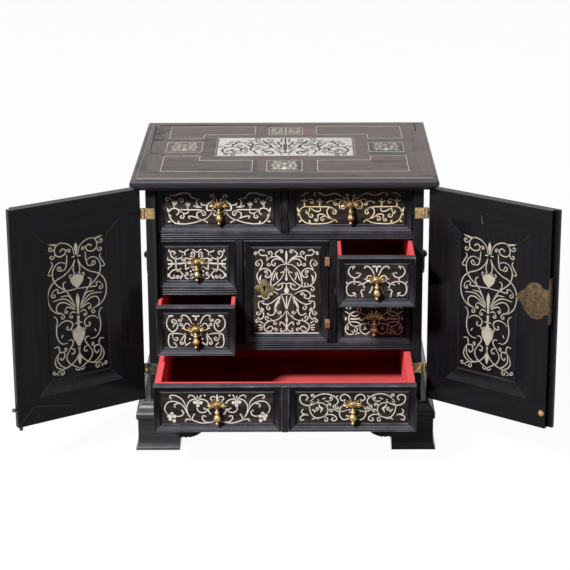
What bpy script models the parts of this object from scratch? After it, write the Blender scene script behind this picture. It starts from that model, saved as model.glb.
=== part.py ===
"""Table cabinet casket: moulded slab, plinth on block feet, drawers, doors and brass fittings."""

import math

import bmesh
import bpy
from mathutils import Matrix, Vector

# Sizes are in metres. Depths are counted back from the front edges of the two side boards.
FRONT_Y = -0.078
GAP = 0.0003
RUN = 0.0004

# Carcass
CARCASS_W = 0.327
CARCASS_D = 0.250
SIDE_T = 0.0115
BACK_T = 0.008
HALF = CARCASS_W / 2
INNER = HALF - SIDE_T

# Top slab
SLAB_W = 0.360
SLAB_BASE = 0.3252
SLAB_T = 0.0138
SLAB_OUT_FRONT = 0.018
SLAB_OUT_BACK = 0.012
SLAB_EDGE = (
    (0.0072, 0.0),
    (0.0066, 0.0012),
    (0.0052, 0.0027),
    (0.0034, 0.0040),
    (0.0014, 0.0047),
    (0.0010, 0.0049),
    (0.0010, 0.0060),
    (0.0003, 0.0064),
    (0.0, 0.0078),
    (0.0, SLAB_T - 0.0040),
    (0.0004, SLAB_T - 0.0024),
    (0.0012, SLAB_T - 0.0012),
    (0.0026, SLAB_T),
)

# Plinth, feet and brackets
PLINTH_BASE = 0.0385
PLINTH_H = 0.0210
PLINTH_TOP = PLINTH_BASE + PLINTH_H
PLINTH_HALF = 0.180
PLINTH_OUT_FRONT = 0.018
PLINTH_OUT_BACK = 0.012
PLINTH_EDGE = (
    (0.0026, 0.0),
    (0.0006, 0.0008),
    (0.0, 0.0030),
    (0.0, PLINTH_H - 0.0134),
    (0.0006, PLINTH_H - 0.0118),
    (0.0022, PLINTH_H - 0.0110),
    (0.0024, PLINTH_H - 0.0098),
    (0.0030, PLINTH_H - 0.0074),
    (0.0046, PLINTH_H - 0.0044),
    (0.0068, PLINTH_H - 0.0020),
    (0.0084, PLINTH_H - 0.0010),
    (0.0084, PLINTH_H),
)
PLINTH_LEDGE = 0.026
BOARD_T = 0.0092
FOOT_W = 0.050
FOOT_INSET = 0.0020
FOOT_FLARE = 0.0036
FOOT_FLARE_Z = (0.0, 0.0016, 0.0040, 0.0066, 0.0096, 0.0125)
BRACKET_T = 0.009
BRACKET_SET = 0.004
BRACKET_W = 0.034
BRACKET_LOW = 0.0125

# Dust boards, uprights and shelves
LOWER_Z = (0.1170, 0.1260)
SHELF_Z = (0.1877, 0.1961)
UPPER_Z = (0.2574, 0.2656)
UPRIGHT_T = 0.0074
PART_LEFT_X = (-0.0585, -0.0503)
PART_RIGHT_X = (0.0527, 0.0609)
RAIL_Y = 0.0093
REED_DEPTH = 0.0009

# Drawer fronts and trays
FIELD_Y = 0.0130
FRONT_T = 0.0070
FRAME_W = 0.0100
FRAME_EDGE = (
    (0.0, 0.0026),
    (0.07, 0.0036),
    (0.14, 0.0040),
    (0.36, 0.0040),
    (0.41, 0.0033),
    (0.54, 0.0030),
    (0.70, 0.0021),
    (0.86, 0.0013),
    (0.94, 0.0011),
    (0.96, 0.0004),
    (1.0, 0.0),
)
TRAY_END = 0.2360
TRAY_WALL = 0.0050
TRAY_FLOOR = 0.0040
TRAY_DROP = 0.0020
FALSE_GAP = 0.0100

# How far the drawers that stand open are pulled out
OUT_LEFT_LOWER = 0.0402
OUT_RIGHT_UPPER = 0.0665
OUT_BOTTOM = 0.1100

# Outer doors
DOOR_CLEAR = 0.0008
DOOR_Z = (PLINTH_TOP + DOOR_CLEAR, SLAB_BASE - DOOR_CLEAR)
DOOR_T = 0.0120
DOOR_GAP = 0.0005
REBATE_T = 0.0050
MEET_INNER = 0.0020
MEET_OUTER = -0.0040
HINGE_OUT = 0.0032
OPEN_LEFT = 148.1
OPEN_RIGHT = 144.5
PANEL_W = 0.0760
PANEL_H = 0.1680
PANEL_DEPTH = 0.0035
SLOPE_W = 0.0160
SLOPE_DEPTH = 0.0020
OUTSIDE_DEPTH = 0.0016

# Outer hinges
HINGE_Z = (0.0985, 0.2935)
LEAF_H = 0.0128
LEAF_W = 0.0100
LEAF_T = 0.0012
KNUCKLE_R = 0.0029
KNUCKLE_H = 0.0037
PIN_R = 0.0012
BORE_R = 0.0016

# Small centre door
CENTRE_FRAME_W = 0.0118
CENTRE_T = 0.0055
CENTRE_FREE = 0.0010
CENTRE_AXIS = (0.0525, 0.0072)
CENTRE_HINGE_Z = (0.1525, 0.2310)
CENTRE_LEAF = (0.0050, 0.0008, 0.0110)
CENTRE_BARREL_R = 0.0014
ESCUTCHEON_X = -0.0250
ESCUTCHEON_Z = 0.1962
ESCUTCHEON_R = 0.0124
PLATE_T = 0.0010

# Lock plate outline on the right door: distance back from the selvedge's face, height
LOCK_OUTLINE = (
    (0.0435, 0.2150),
    (0.0395, 0.2213),
    (0.0312, 0.2272),
    (0.0280, 0.2328),
    (0.0238, 0.2357),
    (0.0185, 0.2367),
    (0.0129, 0.2361),
    (0.0095, 0.2321),
    (0.0057, 0.2308),
    (0.0, 0.2308),
    (0.0, 0.2002),
    (0.0054, 0.1998),
    (0.0095, 0.1949),
    (0.0148, 0.1928),
    (0.0223, 0.1932),
    (0.0283, 0.1975),
    (0.0335, 0.2040),
    (0.0375, 0.2100),
)
SELVEDGE_Z = (0.1885, 0.2440)

# Shooting bolt in the left door
BOLT_R = 0.0022
BOLT_BORE_R = 0.0025
BOLT_IN = 0.0049
BOLT_Z = (0.0555, 0.0930)
BOLT_TRAVEL = 0.0055
KNOB_Z = 0.0820
KNOB_R = 0.0025
ARM_R = 0.0012

# Drop pulls, depths counted out from the field of a drawer front
ROSETTE_W = 0.0230
ROSETTE_H = 0.0190
ROSETTE_T = 0.0012
BOSS_R = 0.0036
BOSS_T = 0.0012
STAPLE_OUT = 0.0060
STAPLE_HALF = 0.0026
STAPLE_R = 0.0007
EYE_IN = 0.0014
EYE_R = 0.0006
EYE_DROP = 0.0003
DROP_PROFILE = (
    (0.0, 0.0020),
    (0.0010, 0.0022),
    (0.0013, 0.0030),
    (0.0011, 0.0042),
    (0.0022, 0.0050),
    (0.0024, 0.0058),
    (0.0015, 0.0067),
    (0.0016, 0.0080),
    (0.0030, 0.0104),
    (0.0039, 0.0134),
    (0.0037, 0.0164),
    (0.0024, 0.0186),
    (0.0012, 0.0194),
    (0.0018, 0.0203),
    (0.0017, 0.0214),
    (0.0008, 0.0223),
    (0.0, 0.0226),
)
PULL_UP_WIDE = 0.0043
PULL_UP_SMALL = 0.0022

# Side carrying handles
HANDLE_Y = (0.080, 0.170)
HANDLE_Z = 0.2170
HANDLE_PLATE_H = 0.0220
HANDLE_PLATE_T = 0.0015
HANDLE_PLATE_OVER = 0.0120
LUG_W = 0.0060
LUG_R = 0.0040
PIVOT_OUT = 0.0067
BAIL_R = 0.0018
BAIL_BORE_R = 0.0021
BAIL_ARM = 0.0070
BAIL_DROP = 0.0290
BAIL_CORNER = 0.0100

EBONY = ((0.012, 0.011, 0.012, 1.0), 0.0, 0.28)
BRASS = ((0.62, 0.42, 0.16, 1.0), 1.0, 0.32)
IRON = ((0.09, 0.08, 0.07, 1.0), 1.0, 0.45)
PINE = ((0.45, 0.05, 0.05, 1.0), 0.0, 0.60)

for stale in list(bpy.data.objects):
    bpy.data.objects.remove(stale, do_unlink=True)

PARTS = bpy.data.collections.new("cabinet_casket")
TOOLS = bpy.data.collections.new("cutters")
bpy.context.scene.collection.children.link(PARTS)
bpy.context.scene.collection.children.link(TOOLS)


def depth(value):
    return FRONT_Y + value


def paint(obj, look):
    colour, metallic, roughness = look
    mat = bpy.data.materials.new(obj.name)
    mat.use_nodes = True
    shader = mat.node_tree.nodes["Principled BSDF"]
    shader.inputs["Base Color"].default_value = colour
    shader.inputs["Metallic"].default_value = metallic
    shader.inputs["Roughness"].default_value = roughness
    mat.diffuse_color = colour
    obj.data.materials.append(mat)


def part(name, data, look, parent=None):
    obj = bpy.data.objects.new(name, data)
    PARTS.objects.link(obj)
    obj.parent = parent
    paint(obj, look)
    return obj


def tool(name, data, parent=None):
    obj = bpy.data.objects.new(name, data)
    TOOLS.objects.link(obj)
    obj.parent = parent
    obj.hide_render = True
    obj.display_type = "WIRE"
    return obj


def combine(obj, operation, data, parent=None):
    helper = tool(obj.name + "_" + operation.lower(), data, parent)
    mod = obj.modifiers.new(operation.lower(), "BOOLEAN")
    mod.operation = operation
    mod.solver = "EXACT"
    mod.object = helper
    return helper


def pivot(name, location, turn_z=0.0, parent=None):
    empty = bpy.data.objects.new(name, None)
    empty.empty_display_size = 0.02
    PARTS.objects.link(empty)
    empty.location = location
    empty.rotation_euler = (0.0, 0.0, turn_z)
    empty.parent = parent
    return empty


def finish(bm, name):
    bmesh.ops.recalc_face_normals(bm, faces=bm.faces)
    mesh = bpy.data.meshes.new(name)
    bm.to_mesh(mesh)
    bm.free()
    return mesh


def joined(name, meshes):
    bm = bmesh.new()
    for mesh in meshes:
        bm.from_mesh(mesh)
    return finish(bm, name)


def smooth(mesh):
    for face in mesh.polygons:
        face.use_smooth = True
    return mesh


def block(name, low, high):
    bm = bmesh.new()
    middle = (Vector(low) + Vector(high)) / 2
    size = Vector(high) - Vector(low)
    place = Matrix.Translation(middle) @ Matrix.Diagonal((size.x, size.y, size.z, 1.0))
    bmesh.ops.create_cube(bm, size=1.0, matrix=place)
    return finish(bm, name)


def rod(name, start, end, radius, sides):
    bm = bmesh.new()
    run = Vector(end) - Vector(start)
    turn = Vector((0.0, 0.0, 1.0)).rotation_difference(run).to_matrix().to_4x4()
    place = Matrix.Translation((Vector(start) + Vector(end)) / 2) @ turn
    bmesh.ops.create_cone(
        bm, cap_ends=True, segments=sides, radius1=radius, radius2=radius, depth=run.length, matrix=place
    )
    return finish(bm, name)


def ball(name, centre, radius, rings):
    bm = bmesh.new()
    bmesh.ops.create_uvsphere(
        bm, u_segments=rings * 2, v_segments=rings, radius=radius, matrix=Matrix.Translation(centre)
    )
    return finish(bm, name)


def loft(name, rings):
    bm = bmesh.new()
    loops = [[bm.verts.new(point) for point in ring] for ring in rings]
    for low, high in zip(loops, loops[1:]):
        for i in range(len(low)):
            j = (i + 1) % len(low)
            bm.faces.new((low[i], low[j], high[j], high[i]))
    bm.faces.new(loops[0][::-1])
    bm.faces.new(loops[-1])
    return finish(bm, name)


def extruded(name, outline, run):
    bm = bmesh.new()
    face = bm.faces.new([bm.verts.new(point) for point in outline])
    grown = bmesh.ops.extrude_face_region(bm, geom=[face])
    moved = [item for item in grown["geom"] if isinstance(item, bmesh.types.BMVert)]
    bmesh.ops.translate(bm, verts=moved, vec=run)
    return finish(bm, name)


def tube(name, path, radius, sides, flat):
    """Round bar along a flat path; flat is the normal of the plane that holds the path."""
    up = Vector(flat).normalized()
    points = [Vector(point) for point in path]
    rings = []
    for i, point in enumerate(points):
        before = points[max(i - 1, 0)]
        after = points[min(i + 1, len(points) - 1)]
        side = up.cross((after - before).normalized())
        ring = []
        for k in range(sides):
            angle = 2 * math.pi * (k + 0.5) / sides
            ring.append(point + radius * (math.cos(angle) * side + math.sin(angle) * up))
        rings.append(ring)
    return smooth(loft(name, rings))


def eye(name, centre, inner, wire, steps, sides):
    """Closed ring round an X axis."""
    bm = bmesh.new()
    place = Matrix.Translation((0.0, inner + wire, 0.0))
    bmesh.ops.create_circle(bm, cap_ends=False, segments=sides, radius=wire, matrix=place)
    bmesh.ops.spin(
        bm,
        geom=bm.edges[:],
        cent=(0.0, 0.0, 0.0),
        axis=(1.0, 0.0, 0.0),
        angle=2 * math.pi,
        steps=steps,
        use_merge=True,
    )
    bmesh.ops.remove_doubles(bm, verts=bm.verts, dist=0.00001)
    bmesh.ops.translate(bm, verts=bm.verts, vec=centre)
    return finish(bm, name)


def arc(centre, radius, start, end, steps):
    points = []
    for i in range(steps + 1):
        angle = math.radians(start + (end - start) * i / steps)
        points.append((centre[0] + radius * math.cos(angle), centre[1] + radius * math.sin(angle)))
    return points


def level(half, front, back, inset, z):
    """Level rectangle, symmetric about the middle, drawn in by inset."""
    x = half - inset
    low = front + inset
    high = back - inset
    return [(-x, low, z), (x, low, z), (x, high, z), (-x, high, z)]


def upright(x, z, inset, y):
    """Upright rectangle facing the front, drawn in by inset."""
    return [
        (x[0] + inset, y, z[0] + inset),
        (x[1] - inset, y, z[0] + inset),
        (x[1] - inset, y, z[1] - inset),
        (x[0] + inset, y, z[1] - inset),
    ]


def reeds(low, high, front, count):
    """Reeded edge from low to high: half-round reeds standing out of a face."""
    pitch = (high - low) / count
    points = []
    for i in range(count):
        for k in range(5):
            angle = math.pi * k / 4
            across = low + pitch * (i + 0.5 - 0.5 * math.cos(angle))
            if k > 0 or i == 0:
                points.append((across, front - REED_DEPTH * math.sin(angle)))
    return points


def dust_board(name, x, z, back):
    face = RAIL_Y + REED_DEPTH
    edge = reeds(z[0], z[1], face, 3)
    outline = [(x[0], depth(y), across) for across, y in edge]
    outline += [(x[0], depth(back), z[1]), (x[0], depth(back), z[0])]
    return extruded(name, outline, (x[1] - x[0], 0.0, 0.0))


def upright_board(name, x, z, back):
    face = RAIL_Y + REED_DEPTH
    edge = reeds(x[0], x[1], face, 3)
    outline = [(across, depth(y), z[0]) for across, y in edge]
    outline += [(x[1], depth(back), z[0]), (x[0], depth(back), z[0])]
    return extruded(name, outline, (0.0, 0.0, z[1] - z[0]))


def moulded_front(name, x, z, field_y, width, thick):
    """Board with a raised moulded frame round a sunk field."""
    rings = [upright(x, z, 0.0, field_y + thick)]
    rings += [upright(x, z, share * width, field_y - rise) for share, rise in FRAME_EDGE]
    return loft(name, rings)


def frame_sinking(name, x, z, field_y, width):
    """The space that a moulded frame leaves over its field, as a cutter."""
    kept = [(share, rise) for share, rise in FRAME_EDGE if share >= 0.36]
    rings = [upright(x, z, kept[0][0] * width, field_y - kept[0][1] - 0.002)]
    rings += [upright(x, z, share * width, field_y - rise) for share, rise in kept]
    return loft(name, rings)


def tray(name, x, z, look, parent):
    low = (x[0], FIELD_Y + FRONT_T + GAP, z[0])
    high = (x[1], TRAY_END, z[1] - TRAY_DROP)
    obj = part(name, block(name, low, high), look, parent)
    inside_low = (low[0] + TRAY_WALL, low[1] + TRAY_WALL, low[2] + TRAY_FLOOR)
    inside_high = (high[0] - TRAY_WALL, high[1] - TRAY_WALL, high[2] + 0.01)
    combine(obj, "DIFFERENCE", block(name + "_inside", inside_low, inside_high), parent)
    return obj


def rosette_outline(y):
    points = []
    petals = 8
    per_petal = 4
    for i in range(petals * per_petal):
        angle = 2 * math.pi * i / (petals * per_petal)
        bulge = 0.80 + 0.20 * abs(math.cos(petals * angle / 2))
        x = ROSETTE_W / 2 * bulge * math.cos(angle)
        z = ROSETTE_H / 2 * bulge * math.sin(angle)
        points.append((x, y, z))
    return points


def drop_pull(name, x, z, drawer):
    """Rosette with staple, fixed to the drawer, and the turned drop that hangs in the staple."""
    seat = FIELD_Y - GAP
    face = seat - ROSETTE_T
    bar_y = FIELD_Y - STAPLE_OUT
    root = pivot(name + "_axis", (x, bar_y, z), 0.0, drawer)
    plate = part(
        name + "_rosette",
        extruded(name + "_rosette", rosette_outline(seat - bar_y), (0.0, -ROSETTE_T, 0.0)),
        BRASS,
        root,
    )
    boss = rod(
        name + "_boss", (0.0, seat - 0.0003 - bar_y, 0.0), (0.0, face - BOSS_T - bar_y, 0.0), BOSS_R, 12
    )
    combine(plate, "UNION", boss, root)
    bend = 0.0012
    path = [(-STAPLE_HALF, seat - 0.0004 - bar_y)]
    path += arc((-STAPLE_HALF + bend, bend), bend, 180, 270, 3)
    path += arc((STAPLE_HALF - bend, bend), bend, 270, 360, 3)
    path += [(STAPLE_HALF, seat - 0.0004 - bar_y)]
    staple = tube(name + "_staple", [(px, py, 0.0) for px, py in path], STAPLE_R, 6, (0.0, 0.0, 1.0))
    staple_tool = combine(plate, "UNION", staple, root)
    staple_tool.name = name + "_rosette_staple"
    mesh = bpy.data.meshes.new(name + "_drop")
    points = [(radius, 0.0, -EYE_DROP - fall) for radius, fall in DROP_PROFILE]
    mesh.from_pydata(points, [(i, i + 1) for i in range(len(points) - 1)], [])
    drop = part(name + "_drop", mesh, BRASS, root)
    turn = drop.modifiers.new("turned", "SCREW")
    turn.axis = "Z"
    turn.angle = 2 * math.pi
    turn.steps = 12
    turn.render_steps = 12
    turn.use_merge_vertices = True
    turn.merge_threshold = 0.00001
    turn.use_smooth_shade = True
    loop = eye(name + "_eye", (0.0, 0.0, -EYE_DROP), EYE_IN, EYE_R, 10, 6)
    combine(drop, "UNION", smooth(loop), root)
    return plate, drop


def drawer(name, x, z, out):
    """Moulded front, tray behind it and one pull, all carried by an empty that slides."""
    slide = pivot(name + "_slide", (0.0, FRONT_Y - out, 0.0))
    front = part(name + "_front", moulded_front(name, x, z, FIELD_Y, FRAME_W, FRONT_T), EBONY, slide)
    box = tray(name + "_tray", x, z, PINE, slide)
    return slide, front, box


def centred_pull(name, x, z, up, slide):
    drop_pull(name, (x[0] + x[1]) / 2, (z[0] + z[1]) / 2 + up, slide)


# Top slab
slab_rings = [
    level(
        SLAB_W / 2,
        depth(-SLAB_OUT_FRONT),
        depth(CARCASS_D + SLAB_OUT_BACK),
        inset,
        SLAB_BASE + rise,
    )
    for inset, rise in SLAB_EDGE
]
part("top_slab", loft("top_slab", slab_rings), EBONY)

# Side boards with a mortise for each hinge leaf
SIDE_Z = (PLINTH_TOP, SLAB_BASE - GAP)
SIDE_BACK = CARCASS_D - BACK_T - GAP
for label, sign in (("left", -1), ("right", 1)):
    ends = sorted((sign * HALF, sign * INNER))
    board = block("side_" + label, (ends[0], depth(0.0), SIDE_Z[0]), (ends[1], depth(SIDE_BACK), SIDE_Z[1]))
    side = part("side_" + label, board, EBONY)
    pockets = []
    for z in HINGE_Z:
        reach = sorted((sign * (HALF + 0.001), sign * (HALF - LEAF_W - 2 * GAP)))
        low = (reach[0], depth(-0.001), z - LEAF_H / 2 - GAP)
        high = (reach[1], depth(LEAF_T + GAP), z + LEAF_H / 2 + GAP)
        pockets.append(block("pocket", low, high))
    combine(side, "DIFFERENCE", joined("pockets_" + label, pockets))

# Back and bottom boards
part(
    "back_board",
    block(
        "back_board",
        (-HALF, depth(CARCASS_D - BACK_T), SIDE_Z[0]),
        (HALF, depth(CARCASS_D), SIDE_Z[1]),
    ),
    EBONY,
)
BOARD_TOP = PLINTH_TOP - GAP
part(
    "bottom_board",
    block(
        "bottom_board",
        (-HALF, depth(0.0), BOARD_TOP - BOARD_T),
        (HALF, depth(CARCASS_D), BOARD_TOP),
    ),
    EBONY,
)

# Plinth: moulded frame with a seat for the bottom board, block feet and scrolled brackets
plinth_front = depth(-PLINTH_OUT_FRONT)
plinth_back = depth(CARCASS_D + PLINTH_OUT_BACK)
plinth_rings = [
    level(PLINTH_HALF, plinth_front, plinth_back, inset, PLINTH_BASE + rise) for inset, rise in PLINTH_EDGE
]
plinth = part("plinth", loft("plinth", plinth_rings), EBONY)
seat_z = BOARD_TOP - BOARD_T - GAP
board_seat = block(
    "board_seat",
    (-HALF - GAP, depth(-GAP), seat_z),
    (HALF + GAP, depth(CARCASS_D + GAP), PLINTH_TOP + 0.01),
)
combine(plinth, "DIFFERENCE", board_seat)
under = block(
    "under_opening",
    (-HALF + PLINTH_LEDGE, depth(PLINTH_LEDGE), PLINTH_BASE - 0.01),
    (HALF - PLINTH_LEDGE, depth(CARCASS_D - PLINTH_LEDGE), seat_z + 0.001),
)
combine(plinth, "DIFFERENCE", under)


def foot(name, x_sign, y_out, y_dir):
    """Block foot whose two outer faces flare at the floor."""
    rings = []
    outer = PLINTH_HALF - FOOT_INSET
    heights = list(FOOT_FLARE_Z) + [PLINTH_BASE + 0.002]
    for z in heights:
        share = max(0.0, 1.0 - z / FOOT_FLARE_Z[-1])
        grow = FOOT_FLARE * share * share
        if z < FOOT_FLARE_Z[2]:
            grow = FOOT_FLARE * (1.0 - FOOT_FLARE_Z[2] / FOOT_FLARE_Z[-1]) ** 2 + 0.0012
        x_out = x_sign * (outer + grow)
        x_in = x_sign * (outer - FOOT_W)
        y_far = y_out + y_dir * grow
        y_near = y_out - y_dir * FOOT_W
        rings.append([(x_out, y_far, z), (x_in, y_far, z), (x_in, y_near, z), (x_out, y_near, z)])
    return loft(name, rings)


FOOT_FRONT = plinth_front + FOOT_INSET
FOOT_BACK = plinth_back - FOOT_INSET
feet = [
    foot("foot", sign, edge, way)
    for sign in (-1, 1)
    for edge, way in ((FOOT_FRONT, -1), (FOOT_BACK, 1))
]
combine(plinth, "UNION", joined("feet", feet))


def bracket_outline():
    """Scrolled bracket in its own plane: run away from the foot, height."""
    top = PLINTH_BASE + 0.001
    points = [(-0.002, top), (-0.002, BRACKET_LOW)]
    points += arc((0.0040, BRACKET_LOW - 0.0040), 0.0057, 135, 50, 4)
    points += arc((0.0118, BRACKET_LOW + 0.0060), 0.0049, 236, 300, 3)
    points += arc((0.0118, BRACKET_LOW + 0.0225), 0.0205, 288, 352, 5)
    points += [(BRACKET_W, top)]
    return points


outer_x = PLINTH_HALF - FOOT_INSET - FOOT_W
inner_front = FOOT_FRONT + FOOT_W
inner_back = FOOT_BACK - FOOT_W
bracket_meshes = []
for sign in (-1, 1):
    front_line = [(sign * (outer_x - run), FOOT_FRONT + BRACKET_SET, z) for run, z in bracket_outline()]
    bracket_meshes.append(extruded("bracket", front_line, (0.0, BRACKET_T, 0.0)))
    side_x = sign * (PLINTH_HALF - FOOT_INSET - BRACKET_SET)
    for start, way in ((inner_front, 1), (inner_back, -1)):
        side_line = [(side_x, start + way * run, z) for run, z in bracket_outline()]
        bracket_meshes.append(extruded("bracket", side_line, (-sign * BRACKET_T, 0.0, 0.0)))
brackets = combine(plinth, "UNION", joined("brackets", bracket_meshes))
brackets.name = "plinth_brackets"
BOLT_X = HINGE_OUT + HALF + MEET_INNER - GAP - BOLT_IN
BOLT_Y = -DOOR_GAP - (DOOR_T - REBATE_T) / 2
socket_x = -HALF - HINGE_OUT + BOLT_X
socket = rod(
    "bolt_socket",
    (socket_x, depth(BOLT_Y), BOLT_Z[0] - 0.001),
    (socket_x, depth(BOLT_Y), PLINTH_TOP + 0.002),
    BOLT_BORE_R + 0.0003,
    12,
)
combine(plinth, "DIFFERENCE", socket)

# Dust boards, upright, partitions and shelves
SPAN = (-INNER + GAP, INNER - GAP)
part("lower_board", dust_board("lower_board", SPAN, LOWER_Z, SIDE_BACK), EBONY)
upper = part("upper_board", dust_board("upper_board", SPAN, UPPER_Z, SIDE_BACK), EBONY)
upright_mesh = upright_board(
    "top_upright",
    (-UPRIGHT_T / 2, UPRIGHT_T / 2),
    (UPPER_Z[1] - 0.0005, SIDE_Z[1]),
    SIDE_BACK,
)
combine(upper, "UNION", upright_mesh)
PART_Z = (LOWER_Z[1] + GAP, UPPER_Z[0] - GAP)
partition_left = part(
    "partition_left", upright_board("partition_left", PART_LEFT_X, PART_Z, SIDE_BACK), EBONY
)
shelf_left = dust_board("shelf_left", (SPAN[0], PART_LEFT_X[0] + 0.0008), SHELF_Z, SIDE_BACK - 0.0005)
combine(partition_left, "UNION", shelf_left)
partition_right = part(
    "partition_right", upright_board("partition_right", PART_RIGHT_X, PART_Z, SIDE_BACK), EBONY
)
shelf_right = dust_board("shelf_right", (PART_RIGHT_X[1] - 0.0008, SPAN[1]), SHELF_Z, SIDE_BACK - 0.0005)
combine(partition_right, "UNION", shelf_right)

# Drawers
TOP_Z = (UPPER_Z[1] + RUN, SIDE_Z[1] - RUN + GAP)
HIGH_Z = (SHELF_Z[1] + RUN, UPPER_Z[0] - RUN)
LOW_Z = (LOWER_Z[1] + RUN, SHELF_Z[0] - RUN)
BOTTOM_Z = (BOARD_TOP + RUN, LOWER_Z[0] - RUN)
TOP_LEFT_X = (-INNER + RUN, -UPRIGHT_T / 2 - RUN)
TOP_RIGHT_X = (UPRIGHT_T / 2 + RUN, INNER - RUN)
LEFT_X = (-INNER + RUN, PART_LEFT_X[0] - RUN)
RIGHT_X = (PART_RIGHT_X[1] + RUN, INNER - RUN)
BOTTOM_X = (-INNER + RUN, INNER - RUN)

for label, x, z, out, up in (
    ("top_left", TOP_LEFT_X, TOP_Z, 0.0, PULL_UP_WIDE),
    ("top_right", TOP_RIGHT_X, TOP_Z, 0.0, PULL_UP_WIDE),
    ("left_upper", LEFT_X, HIGH_Z, 0.0, PULL_UP_SMALL),
    ("left_lower", LEFT_X, LOW_Z, OUT_LEFT_LOWER, PULL_UP_SMALL),
    ("right_upper", RIGHT_X, HIGH_Z, OUT_RIGHT_UPPER, PULL_UP_SMALL),
    ("right_lower", RIGHT_X, LOW_Z, 0.0, PULL_UP_SMALL),
):
    slide, _, _ = drawer("drawer_" + label, x, z, out)
    centred_pull("pull_" + label, x, z, up, slide)

# Wide bottom drawer: one board with two sunk fields that read as two drawers
bottom = pivot("drawer_bottom_slide", (0.0, FRONT_Y - OUT_BOTTOM, 0.0))
CREST = FRAME_EDGE[2][1]
edge_rings = [
    upright(BOTTOM_X, BOTTOM_Z, 0.0, FIELD_Y + FRONT_T),
] + [
    upright(BOTTOM_X, BOTTOM_Z, share * FRAME_W, FIELD_Y - rise) for share, rise in FRAME_EDGE[:3]
]
bottom_front = part("drawer_bottom_front", loft("drawer_bottom_front", edge_rings), EBONY, bottom)
FALSE_LEFT_X = (BOTTOM_X[0], -FALSE_GAP / 2)
FALSE_RIGHT_X = (FALSE_GAP / 2, BOTTOM_X[1])
sinkings = [
    frame_sinking("sinking", span, BOTTOM_Z, FIELD_Y, FRAME_W) for span in (FALSE_LEFT_X, FALSE_RIGHT_X)
]
combine(bottom_front, "DIFFERENCE", joined("bottom_sinkings", sinkings), bottom)
tray("drawer_bottom_tray", BOTTOM_X, BOTTOM_Z, PINE, bottom)
centred_pull("pull_bottom_left", FALSE_LEFT_X, BOTTOM_Z, PULL_UP_WIDE, bottom)
centred_pull("pull_bottom_right", FALSE_RIGHT_X, BOTTOM_Z, PULL_UP_WIDE, bottom)

# Outer doors, drawn shut about their hinge axes and turned to the open pose
INNER_FACE = -DOOR_GAP
OUTER_FACE = -DOOR_GAP - DOOR_T
STEP_FACE = OUTER_FACE + REBATE_T
AXIS_X = HALF + HINGE_OUT


def panel_cutter(name, middle, face, way, panel_depth, slope_depth):
    """Sloping border and sunk panel, cut into a face; way is the direction out of the door."""
    centre_z = (DOOR_Z[0] + DOOR_Z[1]) / 2
    x = (middle - PANEL_W / 2, middle + PANEL_W / 2)
    z = (centre_z - PANEL_H / 2, centre_z + PANEL_H / 2)
    lift = 0.001
    overrun = SLOPE_W + lift * (SLOPE_W - 0.002) / slope_depth
    rings = [
        upright(x, z, -overrun, face + way * lift),
        upright(x, z, -0.002, face - way * slope_depth),
        upright(x, z, -0.0006, face - way * (slope_depth + 0.0003)),
        upright(x, z, 0.0, face - way * panel_depth),
    ]
    return loft(name, rings)


def outer_door(label, sign, opening, inner_reach, outer_reach, step_face):
    axis = pivot(
        label + "_door_axis", (sign * AXIS_X, FRONT_Y, 0.0), sign * math.radians(opening)
    )
    near = -sign * HINGE_OUT
    inner = -sign * inner_reach
    outer = -sign * outer_reach
    outline = [
        (near, INNER_FACE),
        (inner, INNER_FACE),
        (inner, step_face),
        (outer, step_face),
        (outer, OUTER_FACE),
        (near, OUTER_FACE),
    ]
    board = extruded(
        label + "_door", [(x, y, DOOR_Z[0]) for x, y in outline], (0.0, 0.0, DOOR_Z[1] - DOOR_Z[0])
    )
    door = part(label + "_door", board, EBONY, axis)
    middle = (near + inner) / 2
    inside = panel_cutter(label + "_inside_panel", middle, INNER_FACE, 1, PANEL_DEPTH, SLOPE_DEPTH)
    combine(door, "DIFFERENCE", inside, axis)
    outside = panel_cutter(
        label + "_outside_panel", middle, OUTER_FACE, -1, OUTSIDE_DEPTH + 0.001, OUTSIDE_DEPTH
    )
    cut = combine(door, "DIFFERENCE", outside, axis)
    cut.name = label + "_door_outside"
    return axis, door


INNER_LEFT = HINGE_OUT + HALF + MEET_INNER - GAP
OUTER_LEFT = HINGE_OUT + HALF + MEET_OUTER - GAP
INNER_RIGHT = HINGE_OUT + HALF - MEET_INNER - GAP
OUTER_RIGHT = HINGE_OUT + HALF - MEET_OUTER - GAP
left_axis, left_door = outer_door("left", -1, OPEN_LEFT, INNER_LEFT, OUTER_LEFT, STEP_FACE)
right_axis, right_door = outer_door("right", 1, OPEN_RIGHT, INNER_RIGHT, OUTER_RIGHT, STEP_FACE - GAP)

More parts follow.
